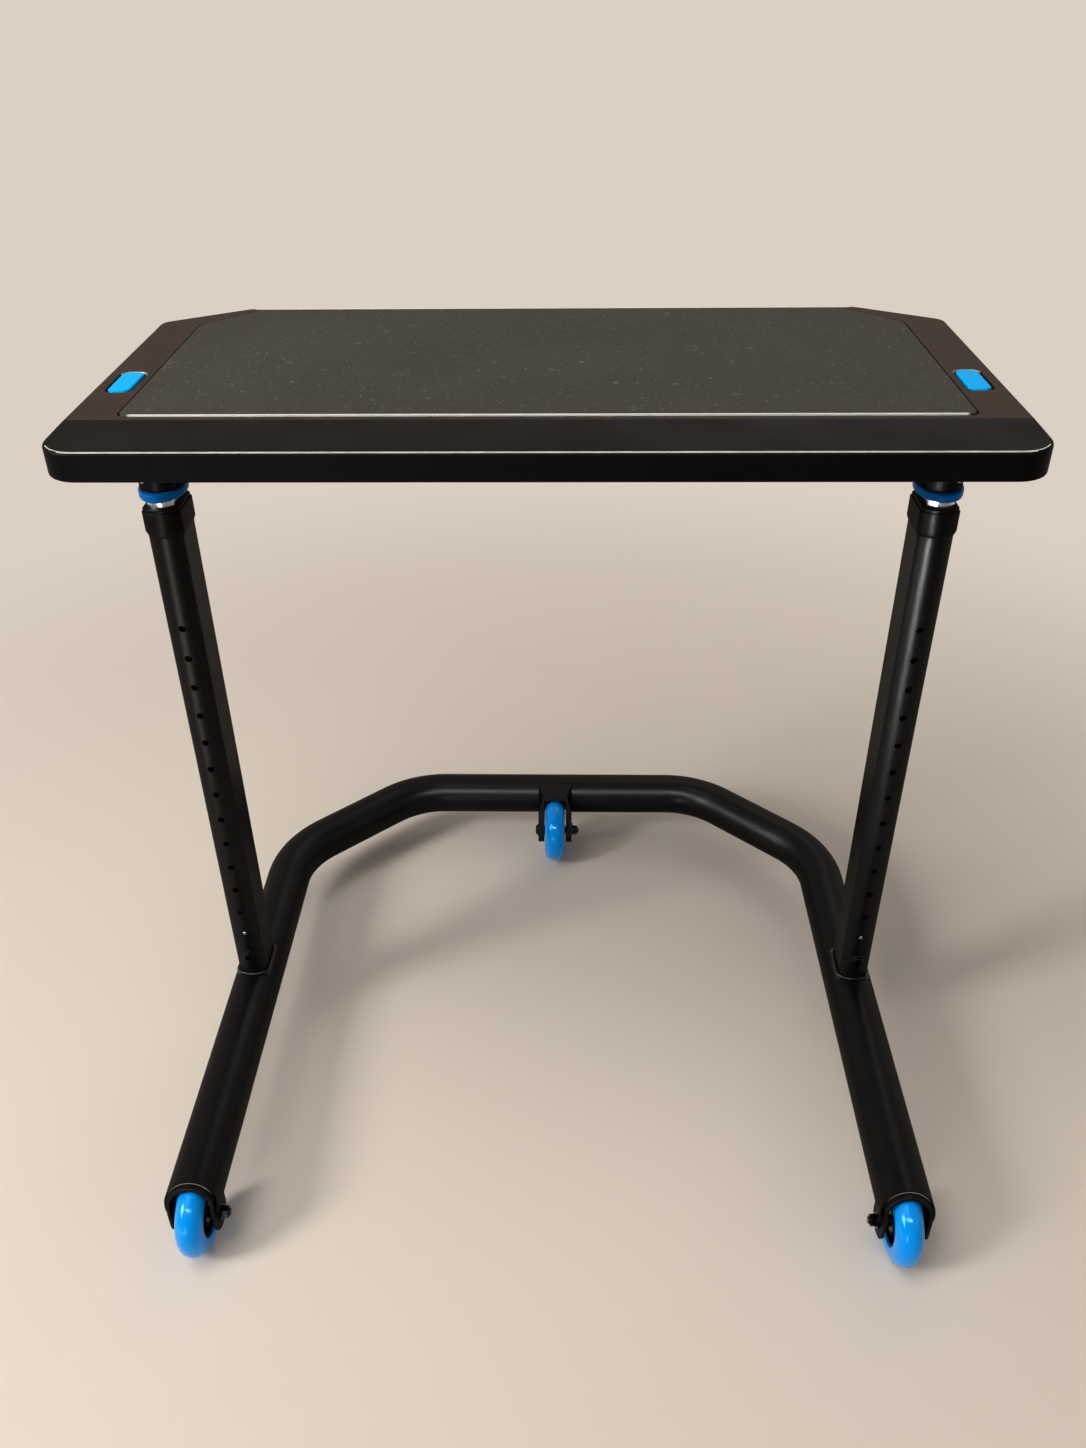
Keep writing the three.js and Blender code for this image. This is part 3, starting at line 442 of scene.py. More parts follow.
# painted highlight at the tube's end: a thin pale crescent over the opening, on black powder paint
tubeLipHighlight = makeFinish("paintedHighlightTubeLip", {
    "tones": ("#040404", "#080707"), "cloud": 0.004, "grain": 0.0025, "depth": 0.00003,
    "Specular IOR Level": 0.0, "Coat Weight": 0.15, "Coat Roughness": 0.34}, [("#a1917b", 1.0, crescent)])
# stoved black powder paint on steel: a soft highlight along each tube, a faint orange peel and a little dust
glazed = {"Specular IOR Level": 0.0, "shine": "Coat ", "depth": 0.00003}
blackPaint = makeFinish("stovedBlackPaint", glazed | {
    "tones": ("#030303", "#060505"), "cloud": 0.05, "detail": 3, "rough": (0.30, 0.38), "grain": 0.0025,
    "Coat Weight": 0.22}, [("#4a453f", 0.16, specks(0.0016, 2, 0.68, 0.8))])
# injection moulded black plastic with a fine grain: dull, duller still below the desk
moulded = glazed | {"cloud": 0.03, "grain": 0.0006}
blackPlastic = makeFinish("mouldedBlackPlastic", moulded | {
    "tones": ("#050505", "#090808"), "rough": (0.32, 0.42), "Coat Weight": 0.12})
coverPlastic = makeFinish("coverPlastic", moulded | {
    "tones": ("#151413", "#1c1a19"), "rough": (0.5, 0.6), "Coat Weight": 0.3})
# paint that ran thick over the weld and shines as if wet
beadPaint = makeFinish("wetLookWeldPaint", moulded | {
    "tones": ("#0a0a0a", "#0e0e0e"), "rough": (0.18, 0.28), "Coat Weight": 0.5})
# glossy blue plastic: a clear highlight with a slight haze from handling, clearest on the cast wheels
glossy = {"cloud": 0.015, "detail": 3, "grain": 0.0015, "depth": 0.000004, "Specular Tint": colour("#70b6ff")}
blueButton = makeFinish("glossyBluePlastic", glossy | {
    "tones": ("#00a6ee", "#01aff8"), "rough": (0.27, 0.36), "Specular IOR Level": 0.01})
# the stop rings: the same blue plastic, darker as painted shade from the desk above them
shadedBlueRing = makeFinish("shadedBlueRingPlastic", glossy | {
    "tones": ("#004f8e", "#01589a"), "rough": (0.32, 0.41), "Specular IOR Level": 0.03})
blueRubber = makeFinish("blueWheelPolyurethane", glossy | {
    "tones": ("#0088e0", "#0190ea"), "rough": (0.08, 0.17), "Specular IOR Level": 0.42, "depth": 0.0000006})
# chrome plate on the drawn tubes: clear reflections, with painted shade as a near-black stripe behind the row of
# holes
metal = {"Metallic": 1.0, "cloud": 0.01, "grain": 1.0, "byGrain": True}
runAxis = abs(axisOf("left")[0])
chromePlate = makeFinish("chromePlate", metal | {
    "tones": ("#c9ccd0", "#d6d8db"), "rough": (0.16, 0.26), "grainStretch": (900, 900, 8), "depth": 0.000004,
# painted shade: near-black stripe behind the row of holes
}, [("#040404", 1.0, zone(("aside", runAxis - 0.0056, runAxis - 0.0042),
                          ("aside", runAxis + 0.0056, runAxis + 0.0042),
                          ("up", 0.700, 0.690), ("deep", -0.030, -0.035)))])
# blackened zinc on the bolts: nearly black, with a broken sheen
darkZinc = makeFinish("blackenedZinc", metal | {
    "tones": ("#101011", "#19191a"), "rough": (0.224, 0.364), "grainStretch": (300, 300, 300), "depth": 0.000006})
# turned steel of the lock pins, and bare drawn steel: grey, with fine lines
pinSteel = makeFinish("domedPinSteel", metal | {
    "tones": ("#5a5b5d", "#6a6b6d"), "rough": (0.16, 0.26), "grainStretch": (500, 500, 500), "depth": 0.000004})
bareSteel = makeFinish("bareSteel", metal | {
    "tones": ("#a2a4a6", "#b4b6b8"), "rough": (0.24, 0.39), "grainStretch": (700, 700, 30), "depth": 0.00001})
# milky white nylon of the guides
whiteNylon = makeFinish("whiteNylon", {
    "tones": ("#d6d3ca", "#e0ddd5"), "cloud": 0.01, "grain": 0.001, "depth": 0.00003, "Roughness": 0.45,
    "Subsurface Weight": 0.1})
finishes = {
    "black_steel": blackPaint, "black_plastic": blackPlastic, "deck_plastic": deskPlastic,
    "mat_rubber": matRubber, "blue_plastic": blueButton, "blue_tyre": blueRubber, "chrome": chromePlate,
    "dark_steel": darkZinc, "plain_steel": bareSteel, "white_plastic": whiteNylon,
}
print("finishes made")

# camera, floor and lights
camera = {
    "place": (0.021844, -1.091686, 1.172519), "down": 0.5918309, "aside": -0.02735056, "tilt": -0.01147312,
    "lens": 29.653, "film": 36.0,
}


def placeCamera():
    bpy.ops.object.select_all(action="DESELECT")
    aside, down, tilt = camera["aside"], camera["down"], camera["tilt"]
    level = Vector((math.sin(aside), math.cos(aside), 0))
    right = Vector((math.cos(aside), -math.sin(aside), 0))
    look = level * math.cos(down) - Vector((0, 0, math.sin(down)))
    up = level * math.sin(down) + Vector((0, 0, math.cos(down)))
    across = right * math.cos(tilt) + up * math.sin(tilt)
    above = up * math.cos(tilt) - right * math.sin(tilt)
    bpy.ops.object.camera_add()
    eye = bpy.context.object
    eye.name = "photoCamera"
    turned = Matrix((across, above, -look)).transposed().to_4x4()
    eye.matrix_world = Matrix.Translation(camera["place"]) @ turned
    eye.data.lens = camera["lens"]
    eye.data.sensor_width = camera["film"]
    eye.data.clip_end = 200
    bpy.context.scene.camera = eye


lamps = {
    "key": {"place": (-0.9, -0.7, 3.1), "aim": (0, 0, 0.5), "size": (1.8, 1.8), "power": 44.0},
    "window": {"place": (-2.6, -1.45, 1.95), "aim": (0, -0.1, 0.3), "size": (0.8, 1.0), "power": 70.0},
    "lowFront": {"place": (-0.8, -2.5, 0.30), "aim": (0, 0, 0.4), "size": (0.5, 0.6), "power": 10.0},
    "strip": {"place": (-0.2, -1.75, 2.25), "aim": (0, 0.36, 0.1), "size": (2.4, 0.2), "power": 90.0,
              "gleam": True},
    "glint": {"place": (-2.6, -1.45, 1.95), "aim": (0, -0.1, 0.3), "size": (1.1, 1.3), "power": 190.0,
              "gleam": True},
    "floorGlow": {"place": (-0.12, -1.4, 0.06), "aim": (0.369, -0.03, 0.55), "size": (0.16, 0.1), "power": 0.7,
                  "gleam": True, "spread": 25},
    "rim": {"place": (0.9, 2.2, 3.0), "aim": (0, 0, 0.6), "size": (1.6, 1.6), "power": 12.0},
    "fill": {"place": (2.6, -1.6, 1.8), "aim": (0, 0, 0.4), "size": (2.0, 2.0), "power": 9.0},
}
surround = {
    "ambient": "#f2efea", "ambientStrength": 0.24, "backdrop": "#dccfc3", "floor": "#d6c8b9",
    "floorGrain": "#dccfc1", "fadeStart": 0.62, "fadeEnd": 1.9, "room": "#948a81", "roomStart": -0.5,
    "roomEnd": -0.8, "patchBlur": 0.06, "patchLeft": -0.98, "patchRight": -0.66, "patchStrength": 16.0,
}


def placeLamp(name, facts):
    bpy.ops.object.select_all(action="DESELECT")
    bpy.ops.object.light_add(type="AREA", location=facts["place"])
    lamp = bpy.context.object
    lamp.name = name + "Lamp"
    lamp.data.shape = "RECTANGLE"
    lamp.data.size, lamp.data.size_y = facts["size"]
    lamp.data.energy = facts["power"]
    # a gleam shows only in what mirrors it
    lamp.visible_diffuse = not facts.get("gleam", False)
    lamp.data.spread = math.radians(facts.get("spread", 180))
    aim = Vector(facts["aim"]) - Vector(facts["place"])
    lamp.rotation_euler = aim.to_track_quat("-Z", "Y").to_euler()


def rayIs(tree, *kinds):
    found = 0.0
    for kind in kinds:
        ray = addNode(tree, "LightPath", {}, "Is " + kind + " Ray")
        found = addNode(tree, "Math", {"operation": "MAXIMUM", 0: ray, 1: found})
    return found


def makeSurround():
    world = bpy.data.worlds.new("studio")
    world.use_nodes = True
    tree = world.node_tree
    tree.nodes.clear()
    dim = addNode(tree, "Background", {
        "Color": colour(surround["ambient"]), "Strength": surround["ambientStrength"]})
    pale, room = (addNode(tree, "Background", {"Color": colour(surround[key]), "Strength": 1.0})
                  for key in ("backdrop", "room"))
    shown = addNode(tree, "MixShader", {0: rayIs(tree, "Camera", "Glossy", "Transmission"), 1: dim, 2: pale})
    # the side behind the camera is a dim room, which only mirrors see
    way = addNode(tree, "SeparateXYZ", {"Vector": addNode(tree, "TexCoord", {}, "Generated")}, "Y")
    front = rampedBy(tree, (rayIs(tree, "Glossy"), 0, 1), (way, 0.05, -0.25))
    both = addNode(tree, "MixShader", {0: front, 1: shown, 2: room})
    tree.links.new(both, tree.nodes.new("ShaderNodeOutputWorld").inputs["Surface"])
    bpy.context.scene.world = world


def makeFloor():
    bpy.ops.object.select_all(action="DESELECT")
    bpy.ops.mesh.primitive_plane_add(size=120)
    floor = newPiece("studioFloor")
    finish, tree, shader, place = startFinish("paleFloor")
    shader.inputs["Roughness"].default_value = 0.6
    shader.inputs["Specular IOR Level"].default_value = 0.2
    tone = addNode(tree, "Mix", {"data_type": "RGBA", 0: grainAt(tree, place, 1.5), 6: colour(surround["floor"]),
                                 7: colour(surround["floorGrain"])}, 2)
    tree.links.new(tone, shader.inputs["Base Color"])
    # far off it turns into the backdrop, for rays that show it and not for its light on the desk
    away = addNode(tree, "VectorMath", {"operation": "LENGTH", 0: place}, "Value")
    far = addNode(tree, "MapRange", {"interpolation_type": "SMOOTHSTEP", "Value": away,
                                     "From Min": surround["fadeStart"], "From Max": surround["fadeEnd"]})
    glow = addNode(tree, "Emission", {"Color": colour(surround["backdrop"]), "Strength": 1.0})
    showing = rayIs(tree, "Camera", "Glossy", "Transmission")
    seen = addNode(tree, "Math", {"operation": "MULTIPLY", 0: far, 1: showing})
    shown = addNode(tree, "MixShader", {0: seen, 1: shader.outputs[0], 2: glow})
    # in front of the picture, for mirrors only: dim, with one glowing patch, a painted reflection of light that
    # gives the columns their highlight
    across, deep = (addNode(tree, "SeparateXYZ", {"Vector": place}, axis) for axis in "XY")
    front = rampedBy(tree, (rayIs(tree, "Glossy"), 0, 1), (deep, surround["roomStart"], surround["roomEnd"]))
    left, right, blur = surround["patchLeft"], surround["patchRight"], surround["patchBlur"]
    patch = rampedBy(tree, (across, left - blur, left + blur), (across, right + blur, right - blur))
    shade = addNode(tree, "Mix", {"data_type": "RGBA", 0: patch, 6: colour(surround["room"]),
                                  7: colour(surround["backdrop"])}, 2)
    strength = addNode(tree, "MapRange", {"Value": patch, "To Min": 1.0, "To Max": surround["patchStrength"]})
    mirrorGlow = addNode(tree, "Emission", {"Color": shade, "Strength": strength})
    both = addNode(tree, "MixShader", {0: front, 1: shown, 2: mirrorGlow})
    tree.links.new(both, tree.nodes["Material Output"].inputs["Surface"])
    floor.data.materials.append(finish)


bpy.context.scene.view_settings.view_transform = "Standard"
placeCamera()
for lampName, lampFacts in lamps.items():
    placeLamp(lampName, lampFacts)
makeSurround()
makeFloor()
print("camera, floor and lamps placed")

# desk top
deskTop = {
    "chamferWide": 0.0825, "chamferDeep": 0.051, "frontCorner": 0.030, "rearCorner": 0.008, "stripDrop": 0.0015,
    "topRound": 0.0028, "bottomRound": 0.0018, "wall": 0.0035, "skin": 0.005, "edgeSoftness": 0.0004,
}
# faces that get the painted highlight along the front edge
frontHighlightZone = {"below": 0.006, "edgeDeep": 0.004, "edgeRises": 0.85, "deep": 0.016, "rises": 0.90, "flat": 0.994,
              "cornerShare": 0.6}
dishZone = {"margin": 0.0005, "leans": -0.2, "flat": 0.95}


def platePiece(name, low, high, chamferWide, chamferDeep, frontCorner, rearCorner):
    plate = cubePiece(name, low, high)
    for side in sides.values():
        outer = Vector((high.x if side > 0 else low.x, high.y - chamferDeep, low.z))
        cutAway(plate, outer, Vector((side * chamferDeep, chamferWide, 0)).normalized())
    middleY = (low.y + high.y) / 2
    bevelEdges(plate, lambda edge: isUpright(edge) and edge.verts[0].co.y < middleY, frontCorner, 12)
    bevelEdges(plate, lambda edge: isUpright(edge) and edge.verts[0].co.y > middleY, rearCorner, 5)
    return plate


matPlate = {
    "chamferWide": 0.051, "chamferDeep": 0.053, "corner": 0.008, "rearCorner": 0.005, "gap": 0.0012,
    "groove": 0.0018, "recess": 0.002, "edgeRound": 0.0006,
}


def makeMat():
    mat = platePiece("deskMat", matLow, matHigh, matPlate["chamferWide"], matPlate["chamferDeep"],
                     matPlate["corner"], matPlate["rearCorner"])
    bevelEdges(mat, rimFacing(1), matPlate["edgeRound"], 3)
    fitPiece(mat, "desk", "mat_rubber", matRubber, "desk_mat")


button = {
    "halfWidth": 0.00975, "length": 0.052, "crown": 0.0014, "slotGap": 0.0003, "height": 0.0062,
    "dishMargin": 0.0038, "dishFloorMargin": 0.0020, "dishDepth": 0.0019, "roundness": 0.7,
}


def slotPiece(name, middle, halfWidth, length, low, high):
    slot = cubePiece(name, (middle.x - halfWidth, middle.y - length / 2, low),
                     (middle.x + halfWidth, middle.y + length / 2, high))
    bevelEdges(slot, isUpright, halfWidth * button["roundness"], 10)
    return slot


def makeButton(name):
    node = "release_button_" + name
    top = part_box(node)[1].z
    piece = slotPiece("releaseButton." + name, middleOf(node), button["halfWidth"], button["length"],
                      top - button["height"], top)
    bevelEdges(piece, rimFacing(1), button["crown"], 5)
    fitPiece(piece, "button_" + name, "blue_plastic", blueButton, node)


def makeDeskTop():
    shell = platePiece("deskTopShell", deskLow, deskHigh, deskTop["chamferWide"], deskTop["chamferDeep"],
                       deskTop["frontCorner"], deskTop["rearCorner"])
    cutAway(shell, (0, crease, deskHigh.z), Vector((0, -deskTop["stripDrop"], stripDepth)).normalized())
    bevelEdges(shell, rimFacing(1), deskTop["topRound"], 5)
    bevelEdges(shell, rimFacing(-1), deskTop["bottomRound"])
    # hollow below
    stepFace(shell, lambda centre, facing: facing.z < -0.99, deskTop["wall"] - deskTop["bottomRound"],
             (0, 0, deskHigh.z - deskLow.z - deskTop["skin"]))
    faceOut(shell)
    # recess for the mat
    gap = Vector((matPlate["gap"], matPlate["gap"], 0))
    groove = Vector((0, matPlate["groove"], 0))
    carve(shell, platePiece(
        "matCutter", Vector((matLow.x, matLow.y, deskHigh.z - matPlate["recess"])) - gap - groove,
        Vector((matHigh.x, matHigh.y, deskHigh.z + beyond)) + gap, matPlate["chamferWide"],
        matPlate["chamferDeep"], matPlate["corner"] + matPlate["gap"], matPlate["rearCorner"]))
    # shallow dish and slot for each button
    half, length = button["halfWidth"], button["length"]
    wide, dishLength = half + button["dishMargin"], length + 2 * button["dishMargin"]
    for name in sides:
        middle = middleOf("release_button_" + name)
        dish = slotPiece("dishCutter", middle, wide, dishLength, deskHigh.z - button["dishDepth"],
                         deskHigh.z + button["dishDepth"])
        pickFaces(dish, lambda centre, facing: facing.z < -0.9)
        stretchPicked(middle, ((half + button["dishFloorMargin"]) / wide,
                               (length + 2 * button["dishFloorMargin"]) / dishLength, 1))
        carve(shell, dish, slotPiece("slotCutter", middle, half + button["slotGap"],
                                     length + 2 * button["slotGap"], deskLow.z, deskHigh.z + beyond))
    fitPiece(shell, "desk", "deck_plastic", deskPlastic, "desk_top_shell",
             soften=deskTop["edgeSoftness"], angle=30)
    # painted highlight on the front edge along its whole length, and below it where it is steeper
    reach = deskHigh.x - deskTop["frontCorner"] * frontHighlightZone["cornerShare"]
    topEdge = deskHigh.z - frontHighlightZone["below"]
    for aside, deep, rises in ((reach, frontHighlightZone["edgeDeep"], frontHighlightZone["edgeRises"]),
                               (deskHigh.x, frontHighlightZone["deep"], frontHighlightZone["rises"])):
        giveFinish(shell, frontEdgeHighlight, lambda centre, facing: centre.z > topEdge and abs(centre.x) < aside
                   and centre.y < deskLow.y + deep and rises < facing.z < frontHighlightZone["flat"])
    # painted highlight on the slanted rear end of each dish
    for name in sides:
        middle = middleOf("release_button_" + name)
        giveFinish(shell, dishRimHighlight, lambda centre, facing: centre.z > deskHigh.z - button["dishDepth"]
                   and abs(centre.x - middle.x) < wide + dishZone["margin"]
                   and 0 < centre.y - middle.y < dishLength / 2 + dishZone["margin"]
                   and facing.y < dishZone["leans"] and facing.z < dishZone["flat"])


makeDeskTop()
makeMat()
for sideName in sides:
    makeButton(sideName)
print("desk top, mat and buttons made")

# columns and what slides in them
section = {"halfWidth": 0.017, "bowRadius": 0.022, "setback": 0.005, "corners": 128, "weld": 0.0004,
           "frontCut": 0.03}


def ovalPiece(name, at, low, high, grow=0.0):
    # flat sides and bowed front and back
    x, y = at
    oval = rodPiece(name, section["bowRadius"] + grow, (x, y, (low + high) / 2), high - low,
                    corners=section["corners"])
    for side in sides.values():
        cutAway(oval, (x + side * (section["halfWidth"] + grow), y, low), (side, 0, 0))
    mergePoints(oval, section["weld"])
    markLine(oval, (x, y, low), (0, 1, 0))
    for end in (-1, 1):
        pickPoints(oval, lambda point: (point.y - y) * end > hair)
        bpy.ops.transform.translate(value=(0, end * section["setback"], 0))
        closeEdit()
    return oval


def ovalSleeve(name, at, low, high, outer, inner):
    sleeve = ovalPiece(name, at, low, high, outer)
    dropFaces(sleeve, lambda centre, facing: abs(facing.z) > 0.9)
    faceOut(sleeve)
    thicken(sleeve, outer - inner)
    return sleeve


def frontCutter(at, radius, height):
    # goes through the front wall only
    length = section["frontCut"]
    return rodPiece("frontCutter", radius, (at[0], at[1] - length, height), length, "Y", 32)


def legCutter(at):
    return rodPiece("legCutter", tubeRadius + hair, (at[0], at[1], tubeAxis), through, "Y")


column = {"wall": 0.002, "holeRadius": 0.0037, "holes": 13, "pitch": 0.035, "lowestHole": 0.165,
          "footBolt": 0.130, "boltHole": 0.0033, "edgeSoftness": 0.0003}


def makeColumn(name):
    at = axisOf(name)
    node = "column_" + name
    piece = ovalSleeve("column." + name, at, tubeAxis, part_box(node)[1].z, 0, -column["wall"])
    holes = [frontCutter(at, column["holeRadius"], column["lowestHole"] + index * column["pitch"])
             for index in range(column["holes"])]
    bolt = rodPiece("boltCutter", column["boltHole"], (*at, column["footBolt"]), through, "Y", 32)
    carve(piece, legCutter(at), joinPieces("holeCutters", holes), bolt)
    fitPiece(piece, "base", "black_steel", blackPaint, node, soften=column["edgeSoftness"])


bead = {"width": 0.0034, "rise": 0.0014, "overlap": 0.0005, "round": 0.0012}


def makeBead(name):
    # weld bead round the column's foot, dressed level on top
    at = axisOf(name)
    top = tubeHigh.z + bead["rise"]
    piece = ovalPiece("weldBead." + name, at, tubeAxis, top, bead["width"])
    carve(piece, legCutter(at), ovalPiece("boreCutter", at, tubeAxis - beyond, top + beyond, -bead["overlap"]))
    bevelEdges(piece, rimAt("Z", top), bead["round"])
    fitPiece(piece, "base", "black_steel", beadPaint, smooth=50)


collar = {"proud": 0.002, "neckProud": 0.0008, "neck": 0.008, "neckDrop": 0.0042, "neckRoot": 0.002,
          "lip": 0.011, "skirtGap": 0.0002, "taperHeight": 0.0045, "taperIn": 0.0017, "shoulderRound": 0.0008,
          "topRound": 0.0012, "bore": -0.0037, "edgeSoftness": 0.0003}


def makeCollar(name):
    at = axisOf(name)
    node = "column_collar_" + name
    low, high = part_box(node)
    shoulder = high.z - collar["neck"]
    piece = ovalPiece("columnCollar." + name, at, low.z, shoulder, collar["proud"])
    markLine(piece, (*at, low.z + collar["taperHeight"]), (0, 0, 1))
    half = section["halfWidth"] + collar["proud"]
    deep = section["bowRadius"] + section["setback"] + collar["proud"]
    pickPoints(piece, lambda point: point.z < low.z + hair)
    stretchPicked((*at, low.z), (1 - collar["taperIn"] / half, 1 - collar["taperIn"] / deep, 1))
    bevelEdges(piece, rimFacing(1), collar["shoulderRound"], 3)
    neck = ovalPiece("neck", at, shoulder - collar["neckRoot"], high.z - collar["neckDrop"], collar["neckProud"])
    bevelEdges(neck, rimFacing(1), collar["topRound"])
    weldOn(piece, neck)
    carve(piece, ovalPiece("skirtCutter", at, low.z - beyond, high.z - collar["lip"], collar["skirtGap"]),
          ovalPiece("mouthCutter", at, low.z - 2 * beyond, high.z + beyond, collar["bore"]))
    fitPiece(piece, "base", "black_plastic", blackPlastic, node, soften=collar["edgeSoftness"])


stopRing = {"bore": -0.0037, "round": 0.0021, "corners": 128}


def makeStopRing(name):
    node = "stop_ring_" + name
    low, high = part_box(node)
    middle, size = (low + high) / 2, high - low
    # an ellipse outside, cut through for the flat-sided tube
    piece = rodPiece("stopRing." + name, size.x / 2, middle, size.z, corners=stopRing["corners"])
    openEdit(piece, "VERT", picked=True)
    stretchPicked(middle, (1, size.y / size.x, 1))
    bevelEdges(piece, rimAt("Z", low.z, high.z), stopRing["round"], 5)
    carve(piece, ovalPiece("ringBore", axisOf(name), low.z - beyond, high.z + beyond, stopRing["bore"]))
    fitPiece(piece, "desk", "blue_plastic", shadedBlueRing, node)


innerTube = {"inset": -0.004, "wall": 0.0015, "pinHole": 0.0035, "edgeSoftness": 0.0002}


def makeInnerTube(name):
    at = axisOf(name)
    node = "inner_tube_" + name
    low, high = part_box(node)
    piece = ovalSleeve("innerTube." + name, at, low.z, high.z, innerTube["inset"],
                       innerTube["inset"] - innerTube["wall"])
    carve(piece, frontCutter(at, innerTube["pinHole"], middleOf("lock_pin_" + name).z))
    fitPiece(piece, "desk", "chrome", chromePlate, node, soften=innerTube["edgeSoftness"])


# base tube
baseTube = {
    "wall": 0.0023, "legBack": 0.1454, "crossbarHalf": 0.2115, "bend": 0.118, "bendSteps": 22, "corners": 72,
    "spare": 0.03, "mouthDrop": 0.007, "mouthLean": 0.007, "notch": 0.0585, "skirt": 0.0088, "slant": 0.012,
    "wellRadius": 0.0513, "wellHalf": 0.016, "edgeSoftness": 0.0004, "lipDeep": 0.004, "lipFacing": -0.8,
}


def makeBaseTube():
    legX = axisOf("left")[0]
    crossbarY = tubeHigh.y - tubeRadius
    legBendY = crossbarY - baseTube["legBack"]
    slant = Vector((-baseTube["crossbarHalf"] - legX, baseTube["legBack"], 0))
    firstTurn = math.atan2(slant.x, slant.y)
    secondTurn = math.pi / 2 - firstTurn
    firstReach = baseTube["bend"] * math.tan(firstTurn / 2)
    secondReach = baseTube["bend"] * math.tan(secondTurn / 2)
    start = tubeLow.y - baseTube["spare"]
    bpy.ops.object.select_all(action="DESELECT")
    bpy.ops.mesh.primitive_circle_add(vertices=baseTube["corners"], radius=tubeRadius, fill_type="NOTHING",
                                      location=(legX, start, tubeAxis), rotation=(math.pi / 2, 0, 0))
    tube = newPiece("baseTube")
    openEdit(tube, "EDGE", picked=True)

    def straight(by):
        bpy.ops.mesh.extrude_edges_move(TRANSFORM_OT_translate={"value": by})

    def bend(turn, centre):
        bpy.ops.mesh.spin(steps=baseTube["bendSteps"], angle=turn, center=centre, axis=(0, 0, 1))

    straight((0, legBendY - firstReach - start, 0))
    bend(firstTurn, (legX + baseTube["bend"], legBendY - firstReach, tubeAxis))
    along = slant.normalized()
    straight(along * (slant.length - firstReach - secondReach))
    lastStart = Vector((-baseTube["crossbarHalf"], crossbarY, tubeAxis)) - along * secondReach
    bend(secondTurn, lastStart + Vector((along.y, -along.x, 0)) * baseTube["bend"])
    straight((baseTube["crossbarHalf"] - secondReach, 0, 0))
    closeEdit()
    setModifier(tube, "MIRROR", {"use_axis": (True, False, False), "merge_threshold": hair})
    faceOut(tube)
    # slanted mouths, with the lower half away below the forks
    mouthTop = Vector((0, tubeLow.y + baseTube["mouthDrop"], tubeHigh.z))
    cutAway(tube, mouthTop, Vector((0, -tubeRadius, baseTube["mouthLean"])).normalized(), fill=False)
    thicken(tube, baseTube["wall"])
    notchY = mouthTop.y + baseTube["notch"]
    skirt = tubeAxis - baseTube["skirt"]
    opening = cubePiece("notchCutter", (tubeLow.x - beyond, start, tubeLow.z - 2 * beyond),
                        (tubeHigh.x + beyond, notchY + baseTube["slant"], skirt))
    cutAway(opening, (0, notchY, skirt), Vector((0, skirt - tubeLow.z, baseTube["slant"])).normalized())
    well = rodPiece("wellCutter", baseTube["wellRadius"], middleOf("tyre_rear"), 2 * baseTube["wellHalf"], "X")
    carve(tube, opening, well)
    fitPiece(tube, "base", "black_steel", blackPaint, "base_tube", soften=baseTube["edgeSoftness"], angle=50)
    # painted highlight: a thin pale crescent round the top of each mouth
    giveFinish(tube, tubeLipHighlight, lambda centre, facing: centre.y < mouthTop.y + baseTube["lipDeep"]
               and facing.y < baseTube["lipFacing"] and centre.z > tubeAxis)


makeBaseTube()
for sideName in sides:
    for makePart in (makeColumn, makeBead, makeCollar, makeStopRing, makeInnerTube):
        makePart(sideName)
print("base tube and columns made")

# wheels and forks
tyre = {"radius": 0.0455, "half": 0.0145, "bore": 0.026, "steps": 96, "corners": 48, "weld": 0.00002}


def makeTyre(name):
    node = "tyre_" + name
    middle = middleOf(node)
    bpy.ops.object.select_all(action="DESELECT")
    bpy.ops.mesh.primitive_circle_add(
        vertices=tyre["corners"], radius=tyre["half"], fill_type="NOTHING", rotation=(math.pi / 2, 0, 0),
        location=(middle.x, middle.y, middle.z + tyre["radius"] - tyre["half"]))
    piece = newPiece("tyre." + name)
    # flat inside, where it sits on the core
    openEdit(piece, "EDGE", picked=True)
    bpy.ops.mesh.bisect(plane_co=(0, 0, middle.z + tyre["bore"]), plane_no=(0, 0, -1), clear_outer=True)
    closeEdit()
    openEdit(piece, "EDGE", picked=True)
    bpy.ops.mesh.spin(steps=tyre["steps"], angle=2 * math.pi, center=middle, axis=(1, 0, 0))
    closeEdit()
    mergePoints(piece, tyre["weld"])
    pickEdges(piece, lambda edge: edge.is_boundary)
    bpy.ops.mesh.bridge_edge_loops()
    closeEdit()
    faceOut(piece)
    fitPiece(piece, "wheel_" + name, "blue_tyre", blueRubber, node, flats=False)


core = {"radius": 0.0257, "half": 0.0115, "rim": 0.0035, "dish": 0.006, "web": 0.0079, "boss": 0.003,
        "seat": 0.007, "bore": 0.0068, "holes": 6, "holeRing": 0.0182, "hole": 0.0026, "cutLength": 0.05,
        "edgeSoftness": 0.0005}


def makeWheelCore(name):
    axle = middleOf("tyre_" + name)
    piece = rodPiece("wheelCore." + name, core["radius"], axle, 2 * core["half"], "X")
    for side in sides.values():
        def onEnd(centre, facing):
            return facing.x * side > 0.9 and (centre - axle).length < core["half"] + spare
        for inset, push in (("rim", -core["dish"]), ("web", core["dish"]), ("boss", -core["seat"])):
            stepFace(piece, onEnd, core[inset], (side * push, 0, 0))
    carve(piece, rodPiece("coreBore", core["bore"], axle, core["cutLength"], "X", 48))
    holes = []
    for index in range(core["holes"]):
        turn = 2 * math.pi * index / core["holes"]
        spot = axle + Vector((0, math.cos(turn), math.sin(turn))) * core["holeRing"]
        holes.append(rodPiece("hole", core["hole"], spot, core["cutLength"], "X", 24))
    carve(piece, joinPieces("coreHoles", holes))
    fitPiece(piece, "wheel_" + name, "black_plastic", blackPlastic, "wheel_core_" + name,
             soften=core["edgeSoftness"])


hexShape = {"turned": 0.985, "corner": 0.16}  # shares of the nut's radius


